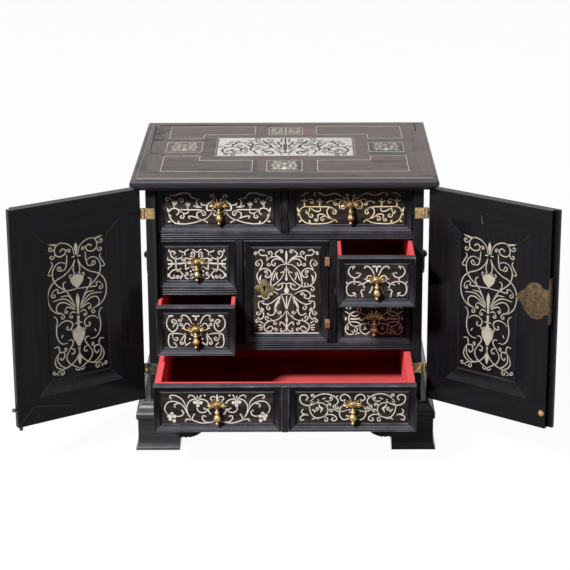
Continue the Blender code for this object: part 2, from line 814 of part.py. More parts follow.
# Outer hinges: leaf, barrels and pin on the carcass; leaf and middle knuckle on the door
for label, sign, axis in (("left", -1, left_axis), ("right", 1, right_axis)):
    for level_name, z in (("lower", HINGE_Z[0]), ("upper", HINGE_Z[1])):
        name = label + "_hinge_" + level_name
        ends = sorted((sign * (HALF - GAP), sign * (HALF - LEAF_W - GAP)))
        leaf = part(
            name + "_fixed",
            block(
                name + "_leaf",
                (ends[0], depth(0.0), z - LEAF_H / 2),
                (ends[1], depth(LEAF_T), z + LEAF_H / 2),
            ),
            BRASS,
        )
        gap_z = KNUCKLE_H / 2 + GAP
        reach = sorted((sign * AXIS_X, sign * (HALF - 0.001)))
        straps = [
            block(
                name + "_strap",
                (reach[0], depth(0.0), min(low, high)),
                (reach[1], depth(LEAF_T), max(low, high)),
            )
            for low, high in ((z + gap_z, z + LEAF_H / 2), (z - gap_z, z - LEAF_H / 2))
        ]
        combine(leaf, "UNION", joined(name + "_straps", straps))
        centre = (sign * AXIS_X, depth(0.0))
        barrels = [
            rod(name + "_barrel", (*centre, low), (*centre, high), KNUCKLE_R, 14)
            for low, high in ((z + gap_z, z + LEAF_H / 2), (z - LEAF_H / 2, z - gap_z))
        ]
        barrel_tool = combine(leaf, "UNION", joined(name + "_barrels", barrels))
        barrel_tool.name = name + "_barrels"
        pin = rod(name + "_pin", (*centre, z - gap_z - 0.001), (*centre, z + gap_z + 0.001), PIN_R, 12)
        pin_tool = combine(leaf, "UNION", pin)
        pin_tool.name = name + "_pin"
        plate_x = sorted((-sign * 0.0016, -sign * 0.0028))
        door_leaf = part(
            name + "_moving",
            block(
                name + "_door_leaf",
                (plate_x[0], OUTER_FACE + 0.0006, z - LEAF_H / 2),
                (plate_x[1], -KNUCKLE_R - GAP, z + LEAF_H / 2),
            ),
            BRASS,
            axis,
        )
        tab = block(
            name + "_tab",
            (plate_x[0], -KNUCKLE_R - 0.001, z - KNUCKLE_H / 2),
            (plate_x[1], 0.0, z + KNUCKLE_H / 2),
        )
        combine(door_leaf, "UNION", tab, axis)
        knuckle = rod(
            name + "_knuckle", (0.0, 0.0, z - KNUCKLE_H / 2), (0.0, 0.0, z + KNUCKLE_H / 2), KNUCKLE_R, 14
        )
        knuckle_tool = combine(door_leaf, "UNION", knuckle, axis)
        knuckle_tool.name = name + "_knuckle"
        bore = rod(name + "_bore", (0.0, 0.0, z - 0.004), (0.0, 0.0, z + 0.004), BORE_R, 12)
        combine(door_leaf, "DIFFERENCE", bore, axis)

# Lock plate on the inner face of the right door, with a selvedge on its meeting edge
plate_y = INNER_FACE + GAP
selvedge_x = -INNER_RIGHT - GAP - PLATE_T
lock_points = [(selvedge_x + back, plate_y, z) for back, z in LOCK_OUTLINE]
lock = part(
    "lock_plate", extruded("lock_plate", lock_points, (0.0, PLATE_T, 0.0)), BRASS, right_axis
)
selvedge = block(
    "selvedge",
    (selvedge_x, STEP_FACE + GAP, SELVEDGE_Z[0]),
    (selvedge_x + PLATE_T, plate_y + PLATE_T, SELVEDGE_Z[1]),
)
combine(lock, "UNION", selvedge, right_axis)

# Shooting bolt: rod in a blind bore of the left door, knob through a slot in the meeting edge
bolt_axis = pivot("left_bolt_slide", (BOLT_X, BOLT_Y, 0.0), 0.0, left_axis)
bore = rod(
    "bolt_bore",
    (BOLT_X, BOLT_Y, DOOR_Z[0] - 0.002),
    (BOLT_X, BOLT_Y, BOLT_Z[1] + BOLT_TRAVEL + 0.001),
    BOLT_BORE_R,
    12,
)
bore_tool = combine(left_door, "DIFFERENCE", bore, left_axis)
bore_tool.name = "left_door_bolt_bore"
slot = block(
    "bolt_slot",
    (BOLT_X, BOLT_Y - ARM_R - GAP, KNOB_Z - ARM_R - GAP),
    (INNER_LEFT + 0.002, BOLT_Y + ARM_R + GAP, KNOB_Z + ARM_R + BOLT_TRAVEL + 0.001),
)
slot_tool = combine(left_door, "DIFFERENCE", slot, left_axis)
slot_tool.name = "left_door_bolt_slot"
bolt = part("left_bolt", rod("left_bolt", (0, 0, BOLT_Z[0]), (0, 0, BOLT_Z[1]), BOLT_R, 12), IRON, bolt_axis)
knob_x = BOLT_IN + 0.0031
arm = rod("bolt_arm", (0.0, 0.0, KNOB_Z), (knob_x, 0.0, KNOB_Z), ARM_R, 8)
combine(bolt, "UNION", arm, bolt_axis)
knob_tool = combine(bolt, "UNION", ball("bolt_knob", (knob_x, 0.0, KNOB_Z), KNOB_R, 6), bolt_axis)
knob_tool.name = "left_bolt_knob"

# Small centre door with its hinges and keyhole escutcheon
centre_axis = pivot("centre_door_axis", (CENTRE_AXIS[0], depth(CENTRE_AXIS[1]), 0.0))
CENTRE_X = (PART_LEFT_X[1] + CENTRE_FREE - CENTRE_AXIS[0], PART_RIGHT_X[0] - RUN - CENTRE_AXIS[0])
CENTRE_Z = (LOWER_Z[1] + RUN, UPPER_Z[0] - RUN)
centre_field = FIELD_Y - CENTRE_AXIS[1]
part(
    "centre_door",
    moulded_front("centre_door", CENTRE_X, CENTRE_Z, centre_field, CENTRE_FRAME_W, CENTRE_T),
    EBONY,
    centre_axis,
)
centre_crest = centre_field - CREST
for level_name, z in (("lower", CENTRE_HINGE_Z[0]), ("upper", CENTRE_HINGE_Z[1])):
    name = "centre_hinge_" + level_name
    wide, thick, tall = CENTRE_LEAF
    leaf = part(
        name,
        block(
            name,
            (-wide, centre_crest - GAP - thick, z - tall / 2),
            (0.0, centre_crest - GAP, z + tall / 2),
        ),
        BRASS,
        centre_axis,
    )
    barrel = rod(name + "_barrel", (0.0, 0.0, z - tall / 2), (0.0, 0.0, z + tall / 2), CENTRE_BARREL_R, 12)
    combine(leaf, "UNION", barrel, centre_axis)

ESC_X = ESCUTCHEON_X - CENTRE_AXIS[0]
esc_back = centre_field - GAP
outline = []
for i in range(32):
    angle = 2 * math.pi * i / 32
    lobe = 0.52 + 0.30 * abs(math.cos(2 * angle)) + 0.18 * abs(math.cos(2 * angle)) ** 6
    outline.append(
        (
            ESC_X + ESCUTCHEON_R * lobe * math.cos(angle),
            esc_back,
            ESCUTCHEON_Z + ESCUTCHEON_R * lobe * math.sin(angle),
        )
    )
escutcheon = part(
    "escutcheon", extruded("escutcheon", outline, (0.0, -PLATE_T, 0.0)), BRASS, centre_axis
)
key_round = arc((ESC_X, ESCUTCHEON_Z + 0.0012), 0.0017, -55, 235, 10)
key_slit = [(ESC_X - 0.0010, ESCUTCHEON_Z - 0.0038), (ESC_X + 0.0010, ESCUTCHEON_Z - 0.0038)]
keyhole = extruded(
    "keyhole", [(x, esc_back + 0.002, z) for x, z in key_round + key_slit], (0.0, -0.006, 0.0)
)
combine(escutcheon, "DIFFERENCE", keyhole, centre_axis)

# Side carrying handles: back plate with two bored lugs, and the bail that swings in them
for label, sign in (("left", -1), ("right", 1)):
    seat_x = HALF + GAP
    pivot_x = HALF + PIVOT_OUT
    plate_points = []
    half_h = HANDLE_PLATE_H / 2
    far_end = HANDLE_Y[1] + HANDLE_PLATE_OVER - half_h
    near_end = HANDLE_Y[0] - HANDLE_PLATE_OVER + half_h
    for edge_y, start in ((far_end, -90), (near_end, 90)):
        plate_points += arc((depth(edge_y), HANDLE_Z), half_h, start, start + 180, 8)
    back_plate = part(
        "handle_plate_" + label,
        extruded(
            "handle_plate_" + label,
            [(sign * seat_x, y, z) for y, z in plate_points],
            (sign * HANDLE_PLATE_T, 0.0, 0.0),
        ),
        IRON,
    )
    lugs = []
    for y in HANDLE_Y:
        outline = [(seat_x + 0.0005, HANDLE_Z - LUG_R), (pivot_x, HANDLE_Z - LUG_R)]
        outline += arc((pivot_x, HANDLE_Z), LUG_R, -60, 60, 4)
        outline += [(pivot_x, HANDLE_Z + LUG_R), (seat_x + 0.0005, HANDLE_Z + LUG_R)]
        lugs.append(
            extruded("lug", [(sign * x, depth(y - LUG_W / 2), z) for x, z in outline], (0.0, LUG_W, 0.0))
        )
    combine(back_plate, "UNION", joined("lugs_" + label, lugs))
    bores = [
        rod(
            "bore",
            (sign * pivot_x, depth(y - LUG_W), HANDLE_Z),
            (sign * pivot_x, depth(y + LUG_W), HANDLE_Z),
            BAIL_BORE_R,
            12,
        )
        for y in HANDLE_Y
    ]
    combine(back_plate, "DIFFERENCE", joined("bores_" + label, bores))
    bail_axis = pivot("bail_axis_" + label, (sign * pivot_x, depth(sum(HANDLE_Y) / 2), HANDLE_Z))
    half_span = (HANDLE_Y[1] - HANDLE_Y[0]) / 2
    arm = half_span - BAIL_ARM
    elbow = 0.0035
    path = [(-half_span - LUG_W / 2 + 0.0004, 0.0)]
    path += arc((-arm - elbow, -elbow), elbow, 90, 0, 4)
    path += arc((-arm + BAIL_CORNER, -BAIL_DROP + BAIL_CORNER), BAIL_CORNER, 180, 270, 5)
    path += arc((arm - BAIL_CORNER, -BAIL_DROP + BAIL_CORNER), BAIL_CORNER, 270, 360, 5)
    path += arc((arm + elbow, -elbow), elbow, 180, 90, 4)
    path += [(half_span + LUG_W / 2 - 0.0004, 0.0)]
    bail = tube("bail_" + label, [(0.0, y, z) for y, z in path], BAIL_R, 10, (1.0, 0.0, 0.0))
    part("bail_" + label, bail, IRON, bail_axis)
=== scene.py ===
"""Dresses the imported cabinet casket: ebonised wood, bone scrolls, brass, red linings and a studio."""

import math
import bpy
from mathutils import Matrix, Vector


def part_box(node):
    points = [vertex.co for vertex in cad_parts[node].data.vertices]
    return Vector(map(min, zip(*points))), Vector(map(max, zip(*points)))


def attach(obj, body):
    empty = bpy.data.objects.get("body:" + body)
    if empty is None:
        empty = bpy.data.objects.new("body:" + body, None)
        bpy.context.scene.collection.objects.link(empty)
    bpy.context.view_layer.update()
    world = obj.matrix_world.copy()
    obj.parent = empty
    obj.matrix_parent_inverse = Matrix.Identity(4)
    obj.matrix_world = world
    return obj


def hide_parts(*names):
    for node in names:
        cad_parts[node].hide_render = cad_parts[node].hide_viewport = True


bl_info = {
    "name": "Cabinet Casket Dressing",
    "version": (1, 0, 0),
    "blender": (4, 5, 0),
    "location": "3D View > Sidebar > Casket",
    "description": "Builds the finished surfaces of an ebonised cabinet casket around its packed model",
    "category": "Add Mesh",
}

import bmesh
import bpy
import numpy as np
from bpy.props import FloatProperty, FloatVectorProperty, PointerProperty
from mathutils import Matrix, Vector

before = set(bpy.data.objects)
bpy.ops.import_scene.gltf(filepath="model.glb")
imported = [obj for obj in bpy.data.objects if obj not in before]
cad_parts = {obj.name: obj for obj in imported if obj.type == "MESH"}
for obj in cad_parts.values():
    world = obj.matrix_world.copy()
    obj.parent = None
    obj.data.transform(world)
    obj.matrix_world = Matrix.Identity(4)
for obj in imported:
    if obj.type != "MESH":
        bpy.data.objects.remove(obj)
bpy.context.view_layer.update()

MM = 0.001
FULL_TURN = 2 * math.pi

# Place of the front plane of the side boards, and how the doors hang on it
FRONT_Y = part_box("side_left")[0].y
HALF_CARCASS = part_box("side_right")[1].x
HINGE_OUT = 3.2 * MM
DOOR_GAP = 0.5 * MM
PANEL_W = 76 * MM
PANEL_H = 168 * MM
PANEL_DEPTH = 3.5 * MM
SLOPE_DEPTH = 2.0 * MM
SLOPE_W = 16 * MM
OPEN_LEFT = math.radians(148.1)
OPEN_RIGHT = math.radians(144.5)
REACH_LEFT = 168.4 * MM
REACH_RIGHT = 164.4 * MM

# Layout of the stringing and of the plaque on the slab, along x and y
STRING_OUT = 147 * MM
STRING_STEP = 103.5 * MM
STRING_IN = 39 * MM
STRING_BACK = (96 * MM, 115.5 * MM, 156.5 * MM)
STRING_FRONT = (12 * MM, -7.5 * MM, -57 * MM)
PLAQUE_X = (-83.5 * MM, 83 * MM)
PLAQUE_Y = (13.5 * MM, 97.5 * MM)

# Least gap about a small curl that fills bare ground, on the panels that have such curls
BARE_GROUND = {
    "top_left": 2.6 * MM, "top_right": 2.4 * MM, "left_upper": 2.0 * MM, "left_lower": 2.3 * MM,
    "right_lower": 2.0 * MM, "bottom_right": 2.1 * MM, "centre_door": 2.5 * MM, "door": 3.0 * MM,
    "plaque": 3.0 * MM,
}
DRAWERS = ("top_left", "top_right", "left_upper", "left_lower", "right_upper", "right_lower")
PULLS = DRAWERS + ("bottom_left", "bottom_right")


class CasketMouldings(bpy.types.PropertyGroup):
    """Sizes of the moulded frames and of the softened arrises."""

    frame_width: FloatProperty(
        name="Drawer frame width", description="Width of a drawer front's moulded frame",
        default=0.010, unit="LENGTH",
    )
    centre_width: FloatProperty(
        name="Centre door frame width", description="Width of the centre door's moulded frame",
        default=0.0118, unit="LENGTH",
    )
    crest: FloatProperty(
        name="Crest", description="Height of a moulded frame above its field", default=0.004, unit="LENGTH",
    )
    arris: FloatProperty(
        name="Arris", description="Rounding of the boards' edges", default=0.0005, unit="LENGTH",
    )


class CasketInlay(bpy.types.PropertyGroup):
    """Widths of the inlaid scrolls and lines."""

    line: FloatProperty(
        name="Scroll width", description="Width of a scroll's line", default=0.00134, unit="LENGTH",
    )
    bead: FloatProperty(
        name="Bead radius", description="Radius of the bead at a scroll's end",
        default=0.00112, unit="LENGTH",
    )
    string: FloatProperty(
        name="Stringing width", description="Width of the straight light lines",
        default=0.0006, unit="LENGTH",
    )
    proud: FloatProperty(
        name="Stand", description="How far the inlay stands out of the wood", default=0.00012, unit="LENGTH",
    )


class CasketFinish(bpy.types.PropertyGroup):
    """Colours of the finishes."""

    ebony: FloatVectorProperty(
        name="Ebonised wood", description="Colour of the stained wood", size=4, subtype="COLOR",
        default=(0.006, 0.0055, 0.0062, 1.0),
    )
    brown: FloatVectorProperty(
        name="Brown figure", description="Colour of the streaks that show through the stain", size=4,
        subtype="COLOR", default=(0.020, 0.0135, 0.0115, 1.0),
    )
    worn: FloatVectorProperty(
        name="Worn arris", description="Colour of rubbed edges", size=4, subtype="COLOR",
        default=(0.115, 0.090, 0.080, 1.0),
    )
    # Pale bluish colour of faces that look up: partly dust, partly painted sheen of the polish lit from above
    dust_and_sheen_bloom: FloatVectorProperty(
        name="Bloom", description="Colour of dust and rubbing on faces that look up", size=4, subtype="COLOR",
        default=(0.158, 0.157, 0.185, 1.0),
    )
    bone: FloatVectorProperty(
        name="Bone", description="Colour of the inlaid bone", size=4, subtype="COLOR",
        default=(0.78, 0.73, 0.65, 1.0),
    )
    brass: FloatVectorProperty(
        name="Brass", description="Colour of the rubbed brass", size=4, subtype="COLOR",
        default=(0.56, 0.385, 0.175, 1.0),
    )
    lining: FloatVectorProperty(
        name="Lining", description="Colour of the drawers' red lining", size=4, subtype="COLOR",
        default=(0.92, 0.122, 0.128, 1.0),
    )


class CasketStudio(bpy.types.PropertyGroup):
    """Light and camera of the studio."""

    key_power: FloatProperty(
        name="Key power", description="Power of the key light", default=82.0, unit="POWER",
    )
    key_size: FloatProperty(
        name="Key size", description="Side of the key light", default=0.30, unit="LENGTH",
    )
    ambient: FloatProperty(
        name="Ambient", description="Strength of the even light on matt surfaces", default=0.025,
    )
    lens: FloatProperty(
        name="Lens", description="Focal length of the camera", default=113.24, unit="CAMERA",
    )


def settings(group):
    return getattr(bpy.context.scene, "casket_" + group)


class Wire:
    """A node's output that can stand in Python sums; each sum adds a Math node to its tree."""

    def __init__(self, net, node, output=None):
        self.net = net
        self.node = node
        live = [socket for socket in node.outputs if socket.enabled]
        if output is None:
            self.socket = live[0] if live else None
        else:
            self.socket = node.outputs[output]

    def out(self, output):
        return Wire(self.net, self.node, output)

    def math(self, operation, *values):
        return self.net.add("ShaderNodeMath", dict(enumerate(values)), {"operation": operation})

    def __add__(self, other):
        return self.math("ADD", self, other)

    __radd__ = __add__

    def __sub__(self, other):
        return self.math("SUBTRACT", self, other)

    def __rsub__(self, other):
        return self.math("SUBTRACT", other, self)

    def __mul__(self, other):
        return self.math("MULTIPLY", self, other)

    __rmul__ = __mul__

    def __pow__(self, other):
        return self.math("POWER", self, other)

    def __abs__(self):
        return self.math("ABSOLUTE", self)

    def clamp(self, low=0.0, high=1.0):
        return self.net.add("ShaderNodeClamp", {"Value": self, "Min": low, "Max": high})


class Net:
    """One node tree and the method that adds any node to it."""

    def __init__(self, tree):
        self.tree = tree

    def add(self, kind, sockets=None, options=None, output=None):
        node = self.tree.nodes.new(kind)
        for name, value in (options or {}).items():
            setattr(node, name, value)
        for key, value in (sockets or {}).items():
            if isinstance(key, int):
                socket = node.inputs[key]
            else:
                socket = next(s for s in node.inputs if s.enabled and s.name == key)
            if isinstance(value, Wire):
                self.tree.links.new(value.socket, socket)
            else:
                socket.default_value = value
        return Wire(self, node, output)

    def mix(self, factor, first, second):
        return self.add("ShaderNodeMix", {"Factor": factor, "A": first, "B": second}, {"data_type": "RGBA"})

    def noise(self, vector, stretch, detail=2.0, distortion=0.0):
        place = self.add("ShaderNodeMapping", {"Vector": vector, "Scale": stretch})
        sockets = {"Vector": place, "Scale": 1.0, "Detail": detail, "Distortion": distortion}
        return self.add("ShaderNodeTexNoise", sockets)

    def bump(self, height, distance):
        return self.add("ShaderNodeBump", {"Height": height, "Distance": distance, "Strength": 1.0})

    def attribute(self, name):
        return self.add("ShaderNodeAttribute", {}, {"attribute_name": name}, "Fac")

    def place(self):
        return self.add("ShaderNodeTexCoord", {}, {}, "Object")


def new_finish(name):
    mat = bpy.data.materials.new("casket_" + name)
    mat.use_nodes = True
    mat.node_tree.nodes.clear()
    return Net(mat.node_tree)


def surface(net, sockets):
    shader = net.add("ShaderNodeBsdfPrincipled", sockets)
    net.add("ShaderNodeOutputMaterial", {"Surface": shader})


def finish(name):
    return bpy.data.materials["casket_" + name]


def tinted(colour, share):
    return tuple(value * share for value in colour[:3]) + (1.0,)


def wood(name, dark, brown, gloss, level, dust, arris_colour, streaks=1.0, figures=75.0):
    """Stained wood whose grain follows the piece's own UV map, in metres along and across.

    Faces that look up carry a pale bluish bloom, partly polish and dust and partly painted sheen, held in the
    attribute dust; slopes take it most and flat tops less. Arrises marked in wear take the arris colour, more
    on faces that look up: rubbed wear, and a painted highlight where that colour is the pale bloom."""
    net = new_finish(name)
    grain = net.add("ShaderNodeUVMap", {}, {"uv_map": "grain"})
    fine = net.noise(grain, (14.0, 700.0, 1.0), 3.0)
    figure = net.noise(grain, (figures / 18.0, figures, 1.0), 4.0, 0.6)
    place = net.place()
    patch = net.noise(place, (60.0, 60.0, 60.0), 4.0)
    wear = net.attribute("wear")
    upward = net.attribute("dust")
    tone = net.attribute("tone")
    streak = ((figure - 0.44 + tone * 0.22) * (3.2 * streaks)).clamp()
    colour = net.mix(streak, dark, brown)
    colour = net.mix(((fine - 0.5) * 2.4).clamp(), colour, tinted(dark, 0.30))
    # Painted sheen, partly dust: faces that tilt up are lightened, slopes most and flat tops less
    slope = ((upward - 0.10) * 3.2).clamp()
    level_top = ((upward - 0.6) * 2.5).clamp()
    dust_and_sheen_bloom = (slope * (1.0 - level_top * 0.55) * (0.4 + patch * 1.2) * (0.6 + fine * 0.8) * dust).clamp()
    colour = net.mix(dust_and_sheen_bloom, colour, tuple(settings("finish").dust_and_sheen_bloom))
    # Rubbed arrises, made stronger on faces that look up: wear, and a painted highlight where the arris
    # colour is pale
    worn = ((wear * 1.25 + patch * 1.3 - 1.3) * 2.0).clamp() * (0.40 + slope * 0.60)
    colour = net.mix(worn, colour, arris_colour)
    surface(net, {
        "Base Color": colour,
        "Roughness": (fine - 0.5) * 0.18 + (patch - 0.5) * 0.20 + worn * 0.12 + gloss,
        "Specular IOR Level": level,
        "Coat Weight": dust_and_sheen_bloom * 0.5,
        "Coat Roughness": 0.30,
        "Normal": net.bump(fine * 0.7 + patch * 0.3, 0.00006),
    })


def bone(name, colour, stain, level=0.25):
    """Inlaid bone with faint clouds and fine dark grain marks."""
    net = new_finish(name)
    place = net.place()
    cloud = net.noise(place, (120.0, 120.0, 120.0), 3.0)
    marks = net.noise(place, (900.0, 900.0, 300.0), 2.0)
    base = net.mix(((cloud - 0.40) * 2.2).clamp(), colour, stain)
    base = net.mix(((marks - 0.60) * 4.0).clamp() * 0.5, base, tinted(stain, 0.45))
    surface(net, {
        "Base Color": base,
        "Roughness": cloud * 0.2 + 0.30,
        "Specular IOR Level": level,
        "Normal": net.bump(cloud * 0.6 + marks * 0.4, 0.00003),
    })


def metal(name, bright, tarnish, gloss, cover):
    """Old metal: bright on what stands out, dull and dark in the hollows."""
    net = new_finish(name)
    place = net.place()
    cloud = net.noise(place, (260.0, 260.0, 260.0), 3.0)
    grit = net.noise(place, (1500.0, 1500.0, 1500.0), 2.0)
    relief = net.attribute("relief")
    dull = ((cloud - 0.5) * 2.0 + cover - relief * 0.9 + (grit - 0.5) * 0.5).clamp()
    surface(net, {
        "Base Color": net.mix(dull, bright, tarnish),
        "Metallic": 1.0 - dull * 0.35,
        "Roughness": dull * 0.28 + grit * 0.08 + gloss,
        "Normal": net.bump(grit * 0.5 + cloud * 0.5, 0.00005),
    })


def lining_paper(name, colour):
    """Red lining with a fine fibre and slight fading, darkened towards the drawer's back with painted shade.
    """
    net = new_finish(name)
    place = net.place()
    fibre = net.noise(place, (900.0, 900.0, 900.0), 3.0)
    fade = net.noise(place, (26.0, 26.0, 26.0), 3.0)
    base = net.mix(((fade - 0.35) * 1.8).clamp(), colour, tinted(colour, 0.82))
    base = net.mix(((fibre - 0.5) * 2.0).clamp() * 0.35, base, tinted(colour, 0.55))
    # Painted shade: the lining darkens towards the back of the tray, where the drawer's inside lies in shade
    depth = net.attribute("wear")
    base = net.mix(((depth - 0.4) * 1.7).clamp() * 0.68, base, tinted(colour, 0.15))
    surface(net, {
        "Base Color": base,
        "Roughness": fibre * 0.15 + 0.75,
        "Specular IOR Level": 0.06,
        "Normal": net.bump(fibre, 0.00008),
    })


def node_tree(name, inputs):
    """Geometry tree with a geometry input and output, and the named inputs; gives the net and the inputs."""
    tree = bpy.data.node_groups.new(name, "GeometryNodeTree")
    tree.interface.new_socket("Geometry", in_out="INPUT", socket_type="NodeSocketGeometry")
    for label, kind in inputs:
        tree.interface.new_socket(label, in_out="INPUT", socket_type="NodeSocket" + kind)
    tree.interface.new_socket("Geometry", in_out="OUTPUT", socket_type="NodeSocketGeometry")
    net = Net(tree)
    return net, net.add("NodeGroupInput")


def end_tree(net, geometry, given):
    whole = net.add("GeometryNodeRealizeInstances", {"Geometry": geometry})
    clad = net.add("GeometryNodeSetMaterial", {"Geometry": whole, "Material": given.out("Finish")})
    net.add("NodeGroupOutput", {"Geometry": clad})


def strip_tree():
    """Flat strips along curves: the point radius is half the width, Thickness is half the height."""
    net, given = node_tree("flat_strips", (("Thickness", "Float"), ("Finish", "Material")))
    section = net.add("GeometryNodeCurvePrimitiveQuadrilateral", {"Width": 2.0, "Height": 2.0})
    sides = net.add("GeometryNodeCurveToMesh", {
        "Curve": given.out("Geometry"),
        "Profile Curve": section,
        "Scale": net.add("GeometryNodeInputRadius"),
        "Fill Caps": True,
    })
    place = net.add("ShaderNodeSeparateXYZ", {"Vector": net.add("GeometryNodeInputPosition")})
    height = given.out("Thickness")
    flat = net.add("ShaderNodeCombineXYZ", {
        "X": place.out("X"), "Y": place.out("Y"), "Z": place.out("Z").clamp(height * -1.0, height),
    })
    end_tree(net, net.add("GeometryNodeSetPosition", {"Geometry": sides, "Position": flat}), given)


def wire_tree():
    """Round wire along curves."""
    net, given = node_tree("round_wire", (("Radius", "Float"), ("Sides", "Int"), ("Finish", "Material")))
    circle = {"Radius": given.out("Radius"), "Resolution": given.out("Sides")}
    section = net.add("GeometryNodeCurvePrimitiveCircle", circle)
    tube = net.add("GeometryNodeCurveToMesh", {
        "Curve": given.out("Geometry"), "Profile Curve": section, "Fill Caps": True,
    })
    end_tree(net, tube, given)


def nail_tree():
    """A low domed head on every point."""
    net, given = node_tree("nail_heads", (("Radius", "Float"), ("Finish", "Material")))
    ball = net.add("GeometryNodeMeshUVSphere", {"Segments": 14, "Rings": 8, "Radius": given.out("Radius")})
    dome = net.add("GeometryNodeTransform", {"Geometry": ball, "Scale": (1.0, 1.0, 0.5)})
    heads = net.add("GeometryNodeInstanceOnPoints", {"Points": given.out("Geometry"), "Instance": dome})
    smooth = net.add("GeometryNodeSetShadeSmooth", {"Geometry": heads})
    end_tree(net, smooth, given)


# Leaves of the stamped rosette: direction in degrees, length, narrowness
LEAVES = (
    (-6, 1.0, 30), (186, 1.0, 30), (-28, 0.74, 44), (208, 0.74, 44), (16, 0.84, 40), (164, 0.84, 40),
    (44, 0.74, 34), (136, 0.74, 34), (72, 0.84, 46), (108, 0.84, 46), (270, 0.66, 10),
)


def rosette_tree():
    """Stamped rosette: leaves round a boss, drawn as rings folded over at the rim."""
    net, given = node_tree("stamped_rosette", (
        ("Half width", "Float"), ("Half height", "Float"), ("Thickness", "Float"), ("Finish", "Material"),
    ))
    grid = net.add("GeometryNodeMeshGrid", {
        "Size X": 2.0, "Size Y": FULL_TURN, "Vertices X": 33, "Vertices Y": 181,
    })
    place = net.add("ShaderNodeSeparateXYZ", {"Vector": net.add("GeometryNodeInputPosition")})
    run = place.out("X")
    turn = place.out("Y")
    out = 1.0 - abs(run)
    front = run.math("LESS_THAN", run, 0.0001)
    edge = out * 0.0 + 0.44
    for degrees, length, narrow in LEAVES:
        lobe = turn.math("COSINE", turn - math.radians(degrees)).clamp() ** narrow * length
        edge = edge.math("SMOOTH_MAX", edge, lobe, 0.06)
    reach = edge * out
    leaf = ((edge - 0.40) * 2.2).clamp()
    ribs = abs(turn.math("SINE", turn * 11.0))
    swell = (1.0 - abs(reach - 0.62) * 2.4).clamp()
    relief = 0.34 + swell * leaf * (0.35 + 0.40 * ribs) + ((1.0 - out) * 1.4).clamp() * 0.25
    boss = ((0.34 - reach) * 6.0).clamp()
    shape = net.add("ShaderNodeCombineXYZ", {
        "X": reach * turn.math("COSINE", turn) * given.out("Half width"),
        "Y": reach * turn.math("SINE", turn) * given.out("Half height"),
        "Z": (relief + boss * 0.8) * given.out("Thickness") * front,
    })
    bright = (swell * leaf * ribs * 1.1 + boss * 0.6).clamp()
    marked = net.add(
        "GeometryNodeStoreNamedAttribute", {"Geometry": grid, "Name": "relief", "Value": bright},
        {"data_type": "FLOAT", "domain": "POINT"},
    )
    moved = net.add("GeometryNodeSetPosition", {"Geometry": marked, "Position": shape})
    closed = net.add("GeometryNodeMergeByDistance", {"Geometry": moved, "Distance": 0.00001})
    end_tree(net, net.add("GeometryNodeSetShadeSmooth", {"Geometry": closed}), given)


def grown(source, tree, values):
    """Runs a named tree on an object built from source data and gives the result as a plain mesh."""
    tree = bpy.data.node_groups[tree]
    obj = bpy.data.objects.new("grown", source)
    bpy.context.scene.collection.objects.link(obj)
    mod = obj.modifiers.new("grown", "NODES")
    mod.node_group = tree
    for item in tree.interface.items_tree:
        if item.in_out == "INPUT" and item.name in values:
            mod[item.identifier] = values[item.name]
    mesh = bpy.data.meshes.new_from_object(obj.evaluated_get(bpy.context.evaluated_depsgraph_get()))
    bpy.data.objects.remove(obj)
    bm = bmesh.new()
    bm.from_mesh(mesh)
    bmesh.ops.recalc_face_normals(bm, faces=bm.faces)
    bm.to_mesh(mesh)
    bm.free()
    return mesh


def curve_data(paths):
    """Poly splines from lists of (x, y, z, radius)."""
    data = bpy.data.curves.new("paths", "CURVE")
    data.dimensions = "3D"
    for path in paths:
        spline = data.splines.new("POLY")
        spline.points.add(len(path) - 1)
        for point, (x, y, z, radius) in zip(spline.points, path):
            point.co = (x, y, z, 1.0)
            point.radius = radius
    return data


def wires(paths, radius, sides, look):
    """Round wires of one radius along lists of (x, y, z)."""
    data = curve_data([[(*point, 1.0) for point in path] for path in paths])
    return grown(data, "round_wire", {"Radius": radius, "Sides": sides, "Finish": finish(look)})


def fine_lines(name, paths, radius, look, place, body):
    """Thin lines on a wooden face: scratches, joint lines and painted highlights."""
    mesh = wires(paths, radius, 6, look)
    mesh.transform(place)
    piece(name, mesh, body)


def strips(name, paths, thickness, look, place, body):
    """Flat strips let into a wooden face."""
    mesh = grown(curve_data(paths), "flat_strips", {"Thickness": thickness, "Finish": finish(look)})
    mesh.transform(place)
    piece(name, shaded(mesh, 30.0), body)


def smooth_path(points, steps):
    """Points along a smooth curve through the given ones."""
    given = np.array(points, float)
    padded = np.vstack((2 * given[0] - given[1], given, 2 * given[-1] - given[-2]))
    run = []
    for before, start, end, after in zip(padded, padded[1:], padded[2:], padded[3:]):
        for t in np.arange(steps) / steps:
            bend = 2 * before - 5 * start + 4 * end - after
            twist = 3 * start - before - 3 * end + after
            run.append(0.5 * (2 * start + (end - before) * t + bend * t * t + twist * t ** 3))
    run.append(given[-1])
    return np.array(run)


def piece(name, mesh, body, finishes=(), nodes=()):
    """Puts a finished mesh in the scene, riding on its body and standing for its nodes."""
    for look in finishes:
        mesh.materials.append(finish(look))
    mesh.name = name
    # How far each corner looks up, for the dust and painted sheen of the woods
    normals = np.empty(len(mesh.loops) * 3, np.float32)
    mesh.corner_normals.foreach_get("vector", normals)
    dust = mesh.attributes.new("dust", "FLOAT", "CORNER")
    dust.data.foreach_set("value", np.clip(normals[2::3], 0.0, 1.0))
    obj = bpy.data.objects.new(name, mesh)
    bpy.context.scene.collection.objects.link(obj)
    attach(obj, body)
    if nodes:
        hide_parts(*nodes)


def facing(origin, along, up):
    """Matrix of a flat place on the object: its x runs along, its y up and its z out."""
    along = Vector(along)
    up = Vector(up)
    out = along.cross(up)
    rows = Matrix((along, up, out)).transposed().to_4x4()
    return Matrix.Translation(origin) @ rows


